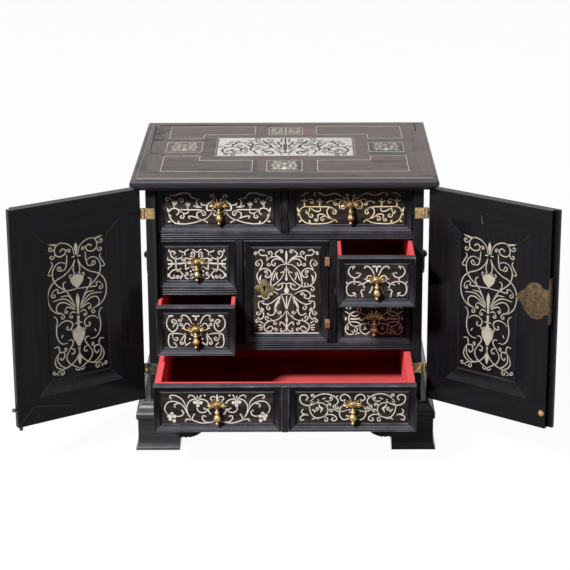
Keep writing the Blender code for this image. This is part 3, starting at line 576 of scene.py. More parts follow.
def upright(x, y, z):
    """Matrix of a flat place that faces the front."""
    return facing((x, y, z), (1, 0, 0), (0, 0, 1))


def shaded(mesh, angle):
    mesh.shade_smooth()
    mesh.set_sharp_from_angle(angle=math.radians(angle))
    return mesh


def as_mesh(bm, name, angle):
    mesh = bpy.data.meshes.new(name)
    bm.to_mesh(mesh)
    bm.free()
    return shaded(mesh, angle)


def rectangle(x, y):
    return [(x[0], y[0]), (x[1], y[0]), (x[1], y[1]), (x[0], y[1])]


def ringed(name, low, high, profile, capped=1, angle=32.0):
    """Rectangular rings, each drawn in and raised by the profile's (inset, rise, wear), closed at both ends;
    the wear, kept in the attribute wear, becomes rubbed arrises and painted highlights in the woods.

    The grain's UV map runs along each side, so that mitred members keep their own direction."""
    bm = bmesh.new()
    grain = bm.loops.layers.uv.new("grain")
    wear = bm.verts.layers.float.new("wear")
    rings = []
    for inset, rise, worn in profile:
        ring = []
        for x, y in rectangle((low[0] + inset, high[0] - inset), (low[1] + inset, high[1] - inset)):
            vert = bm.verts.new((x, y, rise))
            vert[wear] = worn
            ring.append(vert)
        rings.append(ring)
    across = 0.0
    for (lower, upper), (start, end) in zip(zip(rings, rings[1:]), zip(profile, profile[1:])):
        step = math.hypot(end[0] - start[0], end[1] - start[1])
        for side in range(4):
            after = (side + 1) % 4
            face = bm.faces.new((lower[side], lower[after], upper[after], upper[side]))
            for loop, height in zip(face.loops, (across, across, across + step, across + step)):
                place = loop.vert.co.x if side % 2 == 0 else loop.vert.co.y
                loop[grain].uv = (place + 0.7 * side, height + 0.05 * side)
        across += step
    back = bm.faces.new(list(reversed(rings[0])))
    field = bm.faces.new(rings[-1])
    field.material_index = capped
    wide = high[0] - low[0] >= high[1] - low[1]
    for face in (back, field):
        for loop in face.loops:
            x, y = loop.vert.co.xy
            loop[grain].uv = (x, y + 0.4) if wide else (y, x + 0.4)
    return as_mesh(bm, name, angle)


def lay_grain(bm, along):
    """UV map in metres whose first direction runs along the grain: x, y, z, or round a frame."""
    grain = bm.loops.layers.uv.get("grain") or bm.loops.layers.uv.new("grain")
    for face in bm.faces:
        axis = along
        if along == "round":
            axis = "y" if abs(face.normal.x) > abs(face.normal.y) + 0.01 else "x"
        first = "xyz".index(axis)
        others = [i for i in range(3) if i != first]
        for loop in face.loops:
            place = loop.vert.co
            loop[grain].uv = (place[first], place[others[0]] + place[others[1]])


def arrised(node, rounding, along, angle):
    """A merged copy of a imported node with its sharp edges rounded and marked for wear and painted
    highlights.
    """
    bm = bmesh.new()
    bm.from_mesh(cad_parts[node].data)
    bmesh.ops.remove_doubles(bm, verts=bm.verts, dist=0.000002)
    bmesh.ops.dissolve_limit(bm, angle_limit=math.radians(0.4), verts=bm.verts, edges=bm.edges)
    wear = bm.verts.layers.float.new("wear")
    sharp = [e for e in bm.edges if e.is_manifold and e.calc_face_angle() > math.radians(angle)]
    if rounding:
        result = bmesh.ops.bevel(
            bm, geom=sharp, offset=rounding, offset_type="OFFSET", segments=2, profile=0.6,
            affect="EDGES", clamp_overlap=True,
        )
        rounded = set(result["faces"])
        for vert in result["verts"]:
            vert[wear] = 1.0 if all(face in rounded for face in vert.link_faces) else 0.0
    lay_grain(bm, along)
    for layer in [layer for layer in bm.loops.layers.uv.values() if layer.name != "grain"]:
        bm.loops.layers.uv.remove(layer)
    return as_mesh(bm, node, angle)


def dressed(name, node, rounding, along, angle, body, look):
    """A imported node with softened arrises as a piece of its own."""
    piece(name, arrised(node, rounding, along, angle), body, (look,), (node,))


def turned(profile, sides, flutes=0, depth=0.0, band=(0.0, 0.0)):
    """Turned form about z from (radius, height) points, top to bottom, with fluting between two heights."""
    bm = bmesh.new()
    relief = bm.verts.layers.float.new("relief")
    rings = []
    radii = [radius for radius, height in profile]
    for i, (radius, height) in enumerate(profile):
        inside = band[0] < height < band[1]
        hollow = 0 < i < len(radii) - 1 and radius < min(radii[i - 1], radii[i + 1])
        ring = []
        for side in range(sides):
            angle = FULL_TURN * side / sides
            rib = abs(math.cos(flutes * angle / 2)) if inside and flutes else 1.0
            reach = max(radius - depth * (1.0 - rib), 0.00002)
            vert = bm.verts.new((reach * math.cos(angle), reach * math.sin(angle), height))
            vert[relief] = rib - 0.5 * hollow
            ring.append(vert)
        rings.append(ring)
    for upper, lower in zip(rings, rings[1:]):
        for i in range(sides):
            after = (i + 1) % sides
            bm.faces.new((upper[i], lower[i], lower[after], upper[after]))
    bm.faces.new(rings[0])
    bm.faces.new(list(reversed(rings[-1])))
    bmesh.ops.recalc_face_normals(bm, faces=bm.faces)
    return bm


def merged(name, meshes, angle):
    bm = bmesh.new()
    for mesh in meshes:
        bm.from_mesh(mesh)
    return as_mesh(bm, name, angle)


def sheet(left, right, top, bottom):
    return (left, top), (right, top), (right, bottom), (left, bottom)


# Scroll drawings: x of the middle line, the panel's corners from the top left, clockwise, and the strokes.
# Each stroke is its kind, then its points, x to the right and y down.
# v tapered vine, c vine that ends in a bead, l leaf, b even bar, s heavy strap, o bead alone,
# w form with its half-width as a third number. A stroke off the middle line is repeated in mirror.
DRAWINGS = {
    "top_left": (76.0, sheet(12.5, 142.0, 8.6, 45.3), """
v 17,11.5 24,11 30,9 36,8.3 41,10 44,14 50,15.2
v 53,15.5 50,17 49,20.5 51,24 55.5,25.2
c 54,25.3 50,25 46.5,23.8
o 55,21
b 54.5,22.3 61,22.8
s 61.5,28.5 61.5,24 64,20.5 70,16.2
b 61.5,28.8 70,28.8
c 27,27.8 40,28 54,28.3 54.5,30.5
b 22,25 22,22
l 23,22.8 23,16.5
l 22,22.8 19.5,17
l 23.5,22.8 26.5,17
b 38.5,27 38.5,24.5
l 38.5,25 38.5,18.5
l 38.5,24.8 36,20
l 38.5,24.8 41.5,20
v 29,29 34,32.3 38.5,31.5 39.5,29
c 68,30.5 64.5,35 60,38.5 54,40.5 46,43 36,44.5 28,44.4 23,43.5 19,40 16.5,35.5 16,30.5 19,27
  23.5,26.2 27,28 27.5,31.5 25.5,33.5
c 61.5,42.5 57,40.2 52,38.5 47,36.5 42,35.5 39.5,35.8 40,37.5
o 61.5,42.5
v 55,39.5 51,37.5 49.3,34.5 50,31.5 53.5,30
l 14,25.5 15,29 16.3,33
o 17.5,35
l 14,42 18,41.5
l 28,44 26.5,41
"""),
    "top_right": (81.0, sheet(11.8, 145.9, 8.4, 44.6), """
v 19,12.5 25,9 31,7.2 37,6.8 43,9 48,11.3 54,10.8 60,9.2 65,10 70,13 74,17
b 37,7 36,12
b 23.5,24 23.5,20
v 18.5,16.5 23.5,18.5 28.5,16
l 23.5,19.5 23.5,14.5
b 42.5,24.5 42.5,20
v 38,17.5 42.5,19.5 46.5,17.5
l 42.5,20 42.5,14.5
c 63,16 60,18.5 56,17.5 52,19.5
v 61,16 66,16 70,17
v 68,27 66.5,22 69,18 73,18 75,21
c 24,24.3 40,24.5 52,24.6 59,26.2 60,27.5
v 30,25 29.5,29 27.5,32 25.5,31 26,28.5
v 31,26 36,29 41,30 43.5,28 43,25.5
v 24,24.3 20,26 17.5,30 18,35 20.5,39.5 25,42.5 32,44 42,44 52,43.3 59,41 62,39
v 62,39.5 57,38 53,34.5 51.5,30 53,26.5 57,25.5
c 65,42.5 62,40 56,38 51,36 47,33.5 43,33 40,34.5 40.5,37
l 14.5,25 16,29 17.5,33
l 15,34.5 18,31
l 16.5,42 20,40
l 29,39.5 31,43
"""),
    "left_upper": (75.0, sheet(17.9, 134.1, 14.5, 77.0), """
v 75,24 80,19.5 84.5,17
c 89,17 95,20 99,23 104,22 107,20.5
b 97.5,22 97.5,29
c 101,28 104,32.5 109,35.5 113,36 118,35 122,32 124.5,27 124,23 121,21 117,22 116,25 118,26.5
v 124.5,24 127,20 127,17
v 125,23 129,21
v 114,31 115,35 115,45 114.5,55 113,59 110,61
s 96,42.5 103,44.5 110,45 122,45.5 130,46
v 122,44 124,39 130,37.5 130,33
v 122,47 125,50.5 129,53 130,57
b 96.5,33 96.5,57
v 96.5,33.5 92,35 87,36 83,34
v 96.5,57 92,54 87,51
o 86,31
o 87,60
c 104,54 109,56.5 116,56.5 122,59 126.5,63.5 127.5,68.5 125,72.5 121,73.5 118,71 119,68.5
b 130,64 130,71
v 110,57.5 106,61 103,65 98.5,68 97,72 93,74.5 87,74
l 101,66 106,72 107,75.5
"""),
    "left_lower": (79.0, sheet(24.5, 133.0, 21.6, 73.0), """
c 86,36 88,32 91,27 95,23.5 100,22.3 104.5,24 103,27
l 79,24 86,23.5
l 79,23.5 79,31
l 118,23 123,23.5 128,24
c 126,25 129.5,30 130.5,37 128,43 123,47.5 118.5,48 113,44 111,38.5 112.5,34 116,36 118.5,39.5
b 120.5,48.5 120.5,57.5
v 101,53 105,51.8 112,51 121,51.2 126,53 127.5,58 128,65 126,71 121,73.5 116,73 112.5,71
c 113.5,70 117.5,66
c 97,52 100,55 104.5,60
v 90,39 92,36 96,35.5 99.5,38.5 100,43 96,46 90,46.5 85,44
l 100,43 104,43
v 99,51 98,57 99.5,62 98.5,66 97,71
v 89,65 94,68 99,71
o 90,60
"""),
    "right_upper": (79.0, sheet(23.2, 137.0, 16.4, 83.2), """
c 75,42 74,35 71.5,28 67,21.5 62,18.5 57.5,19 56.5,21.5
l 70,18.8 79,18.8
l 79,18 79,31
c 37,19 31,19 28,23 26,28.5 27.5,34 31.5,39 37,41.5 43,40.5 47,37 48.5,34 46,31.5 42,32
o 37,19
l 44,32 51,34
b 35,19 34.5,24
c 37,42 37,48.5 37.5,53
c 40,80 37,76.5 33,78 28,77 24,72.5 22.5,66 23,59.5 26,54 31,50.5 37.5,49.5 44,50 50,52 54,56 56,61
l 33,71.5 38,73 40,76.5
v 26,54 21,49.5
v 44,57 48,55 53,54 58,51 64,48.5 70,48
c 55,44 60,43.5 61,40 64,37.5 68,38
b 60,44 62,50
c 57,66.5 53,65.5 50,69 51.5,74 52.5,79
c 71,58 70,64 66.5,71
"""),
    "right_lower": (79.5, sheet(20.8, 140.5, -11.0, 55.0), """
v 20,7 27,10.5 33,15 40,17 46,15 51,10
v 61,15 56,12 51,9 46,7.7 40,8 34,10.5 29.5,15 28,21 28.5,27 31,32.5 35,36.5 42,38 48,36.5 53,34
v 29,29 35,28.5 42,29 48,30.5 53,34
s 31,22.5 40,22.8 49,22
v 49,22 52,19
v 49,23 54,25 60,24
v 57,22 61,20.5
l 21,18 22,22 21,26
v 52,36 56,33.5 62,32.5 68,33 73,36 75,41 74,46 70,50 65,53.5 60,53.5 55.5,51 52,47 51,41 52,36.5
v 61,37 61.5,43 57.5,45
v 61.5,42 65,44
b 69,27 69,33
v 28,31 23.5,36 21,42 22,48 25,52.5 29.5,54.5 35,54 38,53 36,49 33,47.5
v 26,36 27,40 24,42 29,45
v 42,54.5 47,52 52,52.5
v 58,-4 52,-7 45,-8 38,-6 33,-2 31,3
c 31,3 29,-3 25,-6 22,-3 24,0
l 68,-8 79,-8
"""),
    "bottom_left": (76.0, sheet(14.3, 140.2, 13.6, 47.4), """
v 46.5,43 43,38.5 40.5,33.5 38.5,29.5 35.5,26 31,23.5 26,22.3 21,23 17.5,26 16,30 16.5,33.5 19,37
o 20.5,39,1.9
o 24,36.5,1.9
o 27,39.5,1.9
o 22,42.5,1.9
o 26.5,44.5,1.9
o 24,39,1.9
c 28,39 32,39.5 36,38 37.5,35 35.5,33
c 33.5,25 30,25 27,26.5 27.5,28.5
c 39.5,28.5 39,25 36,20.5 31,17 26,15.5 22.5,16 22,18.5 23.5,19
c 46.5,43 42.5,36 41,30 42.5,25 45.5,21.5 50,19.8 55,20 60,20.3 64.5,22.5 66.5,27 66.5,30.5 63,31.5
  61,30.5
c 66.5,28 66,33 68,36.5
o 50.5,23.5,1.9
o 54,21,1.9
o 57.5,24,1.9
o 54,27,1.9
o 54,24,1.9
c 52,19.5 49,16.5 45,15.5 43.5,17.5
v 54,19 53,16
v 56,20 57,16.5 59,15.5
v 53.5,28 53,31 55,34 59,35.2 63,34 66,31
s 76,24 76,15
c 75,18.5 72,17 69.5,17.5 68.5,20 70,21
c 74,44 70,46 65,46.5 61,45 58.5,41.5 59.5,39 62,39.5
c 64,47.3 58,47 52,45.5 47.5,43.5 47.5,40.5 49.5,37.5
c 46.5,43.5 43,43 40.5,42.5 39.5,44.5
o 62,15.8
"""),
    "bottom_right": (80.7, sheet(18.2, 144.0, 13.6, 47.4), """
c 41,20.5 42,22 39.5,24.5 35,26.5 31,27.5 26.5,27 22.5,25 20.5,21 21,17 24,15.5 27.5,16 29.5,18.5 28,21
v 36,23 32,26.5 31.5,31 33.5,37 37.5,41 43,41.5 48.5,39.5 52,35 52,30 49,26 44,24.5 40,24.5
v 32,23.5 36,19.5 41,16 47,14.5 53,14.8 59,17 63,20 64,23.5 62,26.5 59,28 59,31 61,33 66,34.5 71,34
  75,32.5
l 42,25 43,29 46,31 45,33 44,36
l 34,32 37,33.5 37.5,36
v 49,22.5 53,23 55.5,22
v 46,20.5 50,19
v 60,19 64,16.5
c 78,26 78,20 75.5,16.5 71.5,15 68,16.5 66.5,19.5 68.5,22 71.5,21.5
c 71,22 71,26 67,30 65.5,35 66.5,40 70,43.5 75,43 77.5,40 74,39.5
v 24.5,31.5 22.5,34 24,37 30,37.5
c 21,45 21,41 24,38.5 29,38
v 20.5,44.5 25.5,43.5
v 34,43.5 38,42 42,43
c 48,40 52,38 57,38 61,40 62.5,43 60,45 56.5,44 58,42
"""),
    "centre_door": (65.0, sheet(23.5, 110.0, 18.0, 130.0), """
w 65,20,0.3 65,24,1.2 65,28,1.5 65,33,0.8 65,38,0.6
c 91,34 90.5,30 91,26.5 95.5,26.5 99.5,25.5 101.5,22 99,19 95,20
v 91,33.5 87,29.5 82,28 77,28.5 72,32 68,35.5 66,38
c 69,33 73,29.5 77.5,27 79.5,24 77,21.5
c 67.5,37 71.5,33 76,31 81,31.5 84.5,35 83.5,39 80.5,39.5 80,37
c 66,38.5 71,38.5 76,41 80.5,45.5 83.5,51 85,57 86,63 84.5,66 80,70.5 75.5,71.5 71.5,69.5 70.5,66
  73,64 76,66
c 67,43 68,49 71.5,56 76,61 81,65 86,67.5 91,67.5 95,67 99.5,64 102.5,59 104,53 102,48 98,44.5
  93,43.5 88,45.5 85.5,49.5 86.5,53.5 90,55.5 93,54 91,51.5
v 102.5,50 100,44 97,39 97,35 99,32 102,33
v 93,63 95,68
v 89.5,67 89.5,62
l 98,52 100,56 99.5,61
v 77,49 78,54 76,59
v 78.5,48 81,54 83,60
v 66,45 69,48 73,49
w 65,40,0.5 65,50,0.6 65,55,1.0 65,57.5,1.5 65,60,0.4
v 65,63.5 72,63
w 65,64,0.5 65,69,1.2 65,71,2.6 65,74,2.9 65,77,1.0 65,80,0.7
b 65,77 65,100
c 66,77.5 70,77.5 73,79.5 77,83 82,87 87,90 92,91 97,89.5 98,87 95.5,87
c 97,89 101,87 102.5,91 101.5,96 98,100 95.5,104 96.5,108.5 100,111 102.5,109
l 99,95 95,100
c 76,77.5 80,75 86,73 91,73 95.5,75.5 97,79.5 95.5,83 91.5,83.5 88.5,81.5 90.5,79.5
l 97,80 103.5,80.5
w 73,79,0.5 75,85,1.1 78,90,1.5 80,95,1.2 80.5,101,0.8 83,105,0.7 87,105.5,0.6 91,103,0.9
v 75,86 75,90
v 80,95 78,101
v 72,78.5 69.5,84 67.5,90 66,96 65,100
c 66,100 69,105 74,109.5 80,112.5 86,113 91,115 94.5,118.5 95,123 92,127 87.5,127.5 84,124.5
  84.5,121 88,121 91,123.5
v 86,113 86,110
v 69,106 74,107
v 96,117 102,113
v 97,120 103,118
v 97,122 103,122.5
v 97,124 102,126
w 65,100,0.5 65,108,0.7 65,112,1.7 65,116,0.7 65,121,1.6 65,125,0.6 65,128,0.4
c 66,122 69,117 73,115 74,118
c 66,124 69,127 73,127 72.5,124
b 65,129.6 108,129.6
"""),
    "door": (35.5, ((10.8, 10.1), (62.9, 19.5), (58.9, 148.7), (6.9, 132.9)), """
w 36.3,16.5,0.3 36.3,21,1.6 36.3,25,0.9 36.3,28,0.8
b 33,28.8 36,29.3
c 35.5,27.5 34,20.5 30,15.5 25,12.8 21,13 18.5,16.5 19,21.5 22.5,24.5 27,24 28,20.5 25.5,18.5 23.5,19.5
l 23,13 18,12 13,9.5
v 35.5,32 33,37 29,41 24,43.5 19,44.5 14.5,47 11.5,51 10,57 10.3,63 12,69 15,73.5 18.5,76.5 21,76.8
v 29,25 28.5,29 28,33.5 26.5,37.5 24,38 23,36
v 28,34 25,31 21,30 17.5,32 15.5,36 15.3,41 16.5,46 19.5,51 23,55 26,58.5 28.5,63 31,69 33,75
v 14.8,26.5 16,29 14.5,32 12,36 12,38 15,38.5
v 35.5,33 34,38 33.8,43 35.5,45.5
w 36,46.5,1 36,47.5,3.6 36,49.5,6.0 36,52,6.0 36,55,4.6 36,58,1.8 36,59.5,0.6
v 26.5,49.5 24,50.5 24,54 26,58
v 36.5,60 30,59 25,58 20.5,57.5 18.5,56.5 19,54 16.5,53 13.5,55
v 33.5,77 29,70 25,65.5 20,63.5 14,63
v 33,78 28,72 23.5,68 19,67 16.5,70 17,74 20,77
v 33,79 29,75.5 26,73.5 24,75
v 33.5,77 31,70 27.5,63.5 21,61.5
v 33.5,82 30,80 28,81.5
w 35.3,64.5,0.3 35.3,70,1.7 35.3,76,1.2 35.3,80,0.9 35.3,84,1.2
w 35.3,86,1.4 35.3,89,0.9 35.3,92,1.2 35.3,95,0.9 35.3,97,2.0
v 31.5,92 35.3,92.3
w 35.3,97,1.5 35.3,98.5,4.2 35.3,101,5.6 35.3,104,5.8 35.3,108,4.8 35.3,112,2.4 35.3,115,1.0
v 13.5,77 15.5,79 16.5,83 15.5,88 15,93 15.5,98 17,102.5 20,106 24,107
c 17,88 20,85.7 25,86 29,89.5 29.5,93 27,95.5 24.5,94 25,92
v 19,100 20.5,97.5
v 25,105 28,106 29,109.5 27,112.5 25,114
v 35,116 34,121 31,126 27,129 22,130 17,129.5 13,131 14.5,133.5
v 26,114 23,118 22.5,122 24.5,127 28,131 32,135 35,138
c 26,113 29.5,116 29.5,119.5 27.5,119
v 12,106 15.5,106.5 16.5,110 16,113.5
c 13,116 16,113 20,114 20.5,118.5 18,120.5 17,118.5
v 13,116 12,121 14,126 18,129.5
v 15,114.5 14.5,120 17,125.5 21,129.5
v 35,138 31,137 29.5,134.5
w 35.3,117,0.4 35.3,124,1.1 35.3,128,1.8 35.3,133,0.4
"""),
    "plaque": (79.0, sheet(12.7, 144.2, 8.1, 25.2), """
s 37.2,22.5 29.2,23.4 21.2,22.8 17.7,20.3 20.2,18 26.2,16.8 32.2,17.3 36.2,18.8 35.2,20.5 30.2,20.8
  25.9,19.9 29,18.9
l 26.2,16.8 28.7,14.5 33.2,12.5 40.2,12
l 31.2,10.8 34,12.2 37,12.4
l 40.7,10.3 45.7,10.9 51.2,10.4
s 44.2,11.8 47,14.2 46.2,17 45.2,19 46.4,20.8
l 40.2,15 43,15.4 45,17
l 48.5,16.4 51.2,14.5 54.2,15.5
l 49.2,20.5 53.2,18.8 60.2,19
s 51,23 48.8,21.5 49.2,20.5
l 56,10.4 60.2,12.8 67,11.2
l 57,10.8 60,13.4 63,14.6
s 62.2,14.5 64.7,16 62.2,18.5 58.2,19.4
s 64.7,16 66.6,17.8 70.2,18.2 74.2,17.4 75.2,15.5 71.2,14 68,15
o 70.6,16,1.2
l 56,22.4 60.2,21.6 64.2,20.6
s 60.2,22.6 64.2,21.2 67.2,22 66.2,23.6 62,23.4
l 68.4,19.6 72.2,20.8 75.4,22.2
o 75.2,24.2
o 51.4,23.6,1.2
o 57.2,24,1.2
o 40.6,22.8
b 75.2,9 75.2,12.6
b 77.4,8.9 77.4,11.4
w 79,8.6,0.16 79,13.5,0.22 79,15,0.5 79,19,0.46 79,21.5,0.2 79,22.7,0.7
l 72.4,21.9 76,22.9 79,22.6
l 70,11.4 72.4,12.6 73,14.2
"""),
    "tablet": (50.0, sheet(0.0, 100.0, 0.0, 100.0), """
c 50,50 40,36 26,30 14,38 14,54 26,58 30,48
c 50,50 42,66 30,76 18,74 12,66
c 50,40 44,24 32,16 20,18 16,26
w 50,94,3 50,80,7 50,66,3
l 50,58 50,30 50,8
l 36,44 28,40 22,46
l 36,60 30,64 24,62
l 8,86 18,80 30,88
l 14,94 24,84 34,92
l 30,94 38,82 44,92
l 40,24 36,10 30,6
l 12,12 20,6 28,10
o 8,50
o 38,70
l 40,52 34,54 32,60
"""),
}


def flattened(corners, width, height):
    """Function from a drawing's sheet to the flat panel, about its middle."""
    half = np.array([width / 2, height / 2])
    targets = [half * way for way in ((-1, 1), (1, 1), (1, -1), (-1, -1))]
    rows = []
    for (x, y), (u, v) in zip(corners, targets):
        rows.append((x, y, 1, 0, 0, 0, -u * x, -u * y, u))
        rows.append((0, 0, 0, x, y, 1, -v * x, -v * y, v))
    table = np.array(rows, float)
    fit = np.append(np.linalg.solve(table[:, :8], table[:, 8]), 1.0).reshape(3, 3)

    def place(x, y):
        flat = fit @ (x, y, 1.0)
        return flat[:2] / flat[2]

    return place


def strokes_of(text):
    """Strokes of a drawing, each as its kind and its points."""
    strokes = []
    for word in text.split():
        if word.isalpha():
            strokes.append((word, []))
        else:
            strokes[-1][1].append(tuple(float(value) for value in word.split(",")))
    return strokes


def stroke_widths(kind, share):
    """Half-width along a stroke, as a share of the line's own."""
    swell = np.sin(np.pi * np.clip(share, 0.0, 1.0))
    if kind == "v":
        return 0.50 + 0.50 * swell ** 0.6
    if kind == "c":
        return 0.55 + 0.45 * np.clip(share * 3.0, 0.0, 1.0)
    if kind == "l":
        return 0.25 + 1.35 * swell
    return np.full(share.shape, 1.45 if kind == "s" else 1.0)


# Strokes this near the middle line lie on it; least half-widths of a solid form and of a bead's end
MIDDLE_BAND = 0.0026
LEAST_HALF = 0.00015
LEAST_BEAD = 0.00008
BEAD_TURN = np.linspace(math.radians(150), 0.0, 8)


def beaded(path, widths, bead):
    """Replaces a stroke's end by a round bead about its last point."""
    centre = path[-1]
    away = np.linalg.norm(path - centre, axis=1)
    keep = away > bead
    keep[-1] = False
    near = path[keep][-1] if keep.any() else path[0]
    way = (centre - near) / max(np.linalg.norm(centre - near), 1e-9)
    rounding = [centre + way * (bead * math.cos(math.pi - turn)) for turn in BEAD_TURN]
    radii = [max(bead * math.sin(turn), LEAST_BEAD) for turn in BEAD_TURN]
    return np.vstack((path[keep], rounding)), np.append(widths[keep], radii)


def stroke_paths(drawing, width, height, line, bead):
    """All strokes of a drawing, with their mirror images, as (x, y, z, half-width) lists."""
    axis, corners, strokes = DRAWINGS[drawing]
    place = flattened(corners, width, height)
    middle = sum(corner[1] for corner in corners) / 4
    shift = place(axis, middle)[0]
    unit = height / (corners[3][1] - corners[0][1])
    paths = []
    for kind, marks in strokes_of(strokes):
        points = np.array([place(mark[0], mark[1]) for mark in marks])
        points[:, 0] -= shift
        middle_line = np.abs(points[:, 0]).max() < MIDDLE_BAND
        if middle_line:
            points[:, 0] = 0.0
        if kind == "o":
            dot = bead * (marks[0][2] if len(marks[0]) > 2 else 1.0)
            start = points + np.array([[-dot, 0.0]])
            path, widths = beaded(np.vstack((start, points)), np.full(2, line / 2), dot)
        elif kind == "w":
            solid = smooth_path(np.column_stack((points, [mark[2] * unit for mark in marks])), 5)
            path, widths = solid[:, :2], np.maximum(solid[:, 2], LEAST_HALF)
        else:
            path = smooth_path(points, 5) if len(points) > 2 else np.linspace(points[0], points[1], 7)
            steps = np.linalg.norm(np.diff(path, axis=0), axis=1)
            share = np.append(0.0, np.cumsum(steps)) / max(steps.sum(), 1e-9)
            widths = stroke_widths(kind, share) * line / 2
            if kind == "c":
                path, widths = beaded(path, widths, bead)
        for side in (1.0,) if middle_line else (1.0, -1.0):
            paths.append([(x * side, y, 0.0, radius) for (x, y), radius in zip(path, widths)])
    return paths


# A curl's points as shares of its size, the sizes and sides tried (in line widths), and the rules for
# its place: where along a stroke, how far from the edges, and which shares of its size about its root
# are left out of the test for room, of the ground and of the curl
TENDRIL = ((0.0, 0.0), (0.40, 0.07), (0.72, 0.30), (0.76, 0.62), (0.52, 0.80), (0.30, 0.66), (0.36, 0.48))
TENDRIL_TRIES = ((6.6, 1), (6.6, -1), (4.9, 1), (4.9, -1))
LEAST_STROKE = 6.0 * MM
TENDRIL_START = 1.5 * MM
TENDRIL_STEP = 3.0 * MM
TENDRIL_END = 1.0 * MM
PANEL_MARGIN = 0.9 * MM
ROOT_GROUND = 0.42
ROOT_CURL = 0.55


def tendrils(paths, width, height, line, bead, room):
    """Small curls that grow from the strokes into the bare ground between them, the same on both sides."""
    ground = np.array([point[:2] for path in paths for point in path[::2]])
    curls = []
    for path in paths:
        points = np.array([point[:2] for point in path])
        solid = max(point[3] for point in path) > 1.1 * line
        steps = np.append(0.0, np.cumsum(np.linalg.norm(np.diff(points, axis=0), axis=1)))
        if solid or points[:, 0].mean() < 0.0 or steps[-1] < LEAST_STROKE:
            continue
        for run in np.arange(TENDRIL_START, steps[-1] - TENDRIL_END, TENDRIL_STEP):
            i = max(1, min(int(np.searchsorted(steps, run)), len(points) - 1))
            along = (points[i] - points[i - 1]) / max(steps[i] - steps[i - 1], 1e-9)
            across = np.array([-along[1], along[0]])
            for reach, side in TENDRIL_TRIES:
                size = reach * line
                curl = [points[i] + (along * u + across * v * side) * size for u, v in TENDRIL]
                curl = smooth_path(np.array(curl), 3)
                other = ground[np.linalg.norm(ground - points[i], axis=1) > ROOT_GROUND * size]
                free = curl[np.linalg.norm(curl - points[i], axis=1) > ROOT_CURL * size]
                gaps = np.linalg.norm(free[:, None] - other[None], axis=2)
                inside = (np.abs(free) < (width / 2 - PANEL_MARGIN, height / 2 - PANEL_MARGIN)).all()
                if inside and gaps.min() > room and free[:, 0].min() > PANEL_MARGIN:
                    ground = np.vstack((ground, curl, curl * (-1.0, 1.0)))
                    share = np.linspace(0.0, 1.0, len(curl))
                    spine, radii = beaded(curl, stroke_widths("c", share) * line / 2, bead)
                    for mirror in (1.0, -1.0):
                        curls.append([(x * mirror, y, 0.0, radius) for (x, y), radius in zip(spine, radii)])
                    break
    return curls


def inlaid(name, drawing, width, height, place, body, look, line=1.0, room=0.0):
    """Inlays a drawing in a flat place, centred on it."""
    inlay = settings("inlay")
    paths = stroke_paths(drawing, width, height, inlay.line * line, inlay.bead * line)
    if room:
        paths += tendrils(paths, width, height, inlay.line * 0.9 * line, inlay.bead * line * 0.8, room)
    strips(name, paths, inlay.proud, look, place, body)


def sides_of(outline, *rest):
    """The sides of a closed outline as separate paths, with the rest of a point's values added."""
    return [[(*start, *rest), (*end, *rest)] for start, end in zip(outline, outline[1:] + outline[:1])]


def stringing(name, outlines, place, width):
    """Straight bone lines along closed outlines on the carcass."""
    paths = [side for outline in outlines for side in sides_of(outline, 0.0, width / 2)]
    strips(name, paths, settings("inlay").proud, "bone", place, "carcass")


def nailed(name, points, radius, place, body, look):
    """Nail heads on a flat place."""
    spots = bpy.data.meshes.new("spots")
    spots.from_pydata([(x, y, 0.0) for x, y in points], [], [])
    mesh = grown(spots, "nail_heads", {"Radius": radius, "Finish": finish(look)})
    mesh.transform(place)
    piece(name, mesh, body)


# Moulded frame of a front, from its outer edge: share of the width, share of the crest, wear (on the frame
# wood a painted highlight as well as wear)
FRAME_PROFILE = (
    (0.0, 0.55, 0.1), (0.02, 0.78, 0.3), (0.04, 0.92, 0.4), (0.07, 1.0, 0.5), (0.1, 1.0, 0.6),
    (0.115, 0.97, 0.5), (0.12, 0.93, 0.0), (0.16, 0.905, 0.2), (0.21, 0.88, 0.3), (0.26, 0.83, 0.1),
    (0.3, 0.755, 0.0), (0.315, 0.735, 0.0), (0.365, 0.715, 0.3), (0.415, 0.665, 0.2), (0.455, 0.59, 0.0),
    (0.47, 0.57, 0.0), (0.52, 0.55, 0.3), (0.57, 0.5, 0.2), (0.61, 0.425, 0.0), (0.63, 0.4, 0.1),
    (0.69, 0.375, 0.3), (0.705, 0.36, 0.4), (0.71, 0.25, 0.0), (0.735, 0.24, 0.0), (0.74, 0.29, 0.2),
    (0.76, 0.325, 0.5), (0.785, 0.315, 0.5), (0.8, 0.28, 0.2), (0.805, 0.15, 0.0), (0.85, 0.14, 0.0),
    (0.855, 0.19, 0.2), (0.88, 0.24, 0.5), (0.905, 0.24, 0.6), (0.93, 0.21, 0.5), (0.94, 0.16, 0.2),
    (0.945, 0.05, 0.0), (0.96, 0.0, 0.0),
)


def field_place(node, x=0.0, z=0.0):
    """Matrix of the field of a moulded front, with its origin at x and z."""
    return upright(x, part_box(node)[0].y + settings("mouldings").crest, z)


def front_corners(node):
    low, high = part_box(node)
    return (low.x, low.z), (high.x, high.z)


def front_thickness(node):
    """Thickness of a front behind its field."""
    low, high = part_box(node)
    return high.y - low.y - settings("mouldings").crest


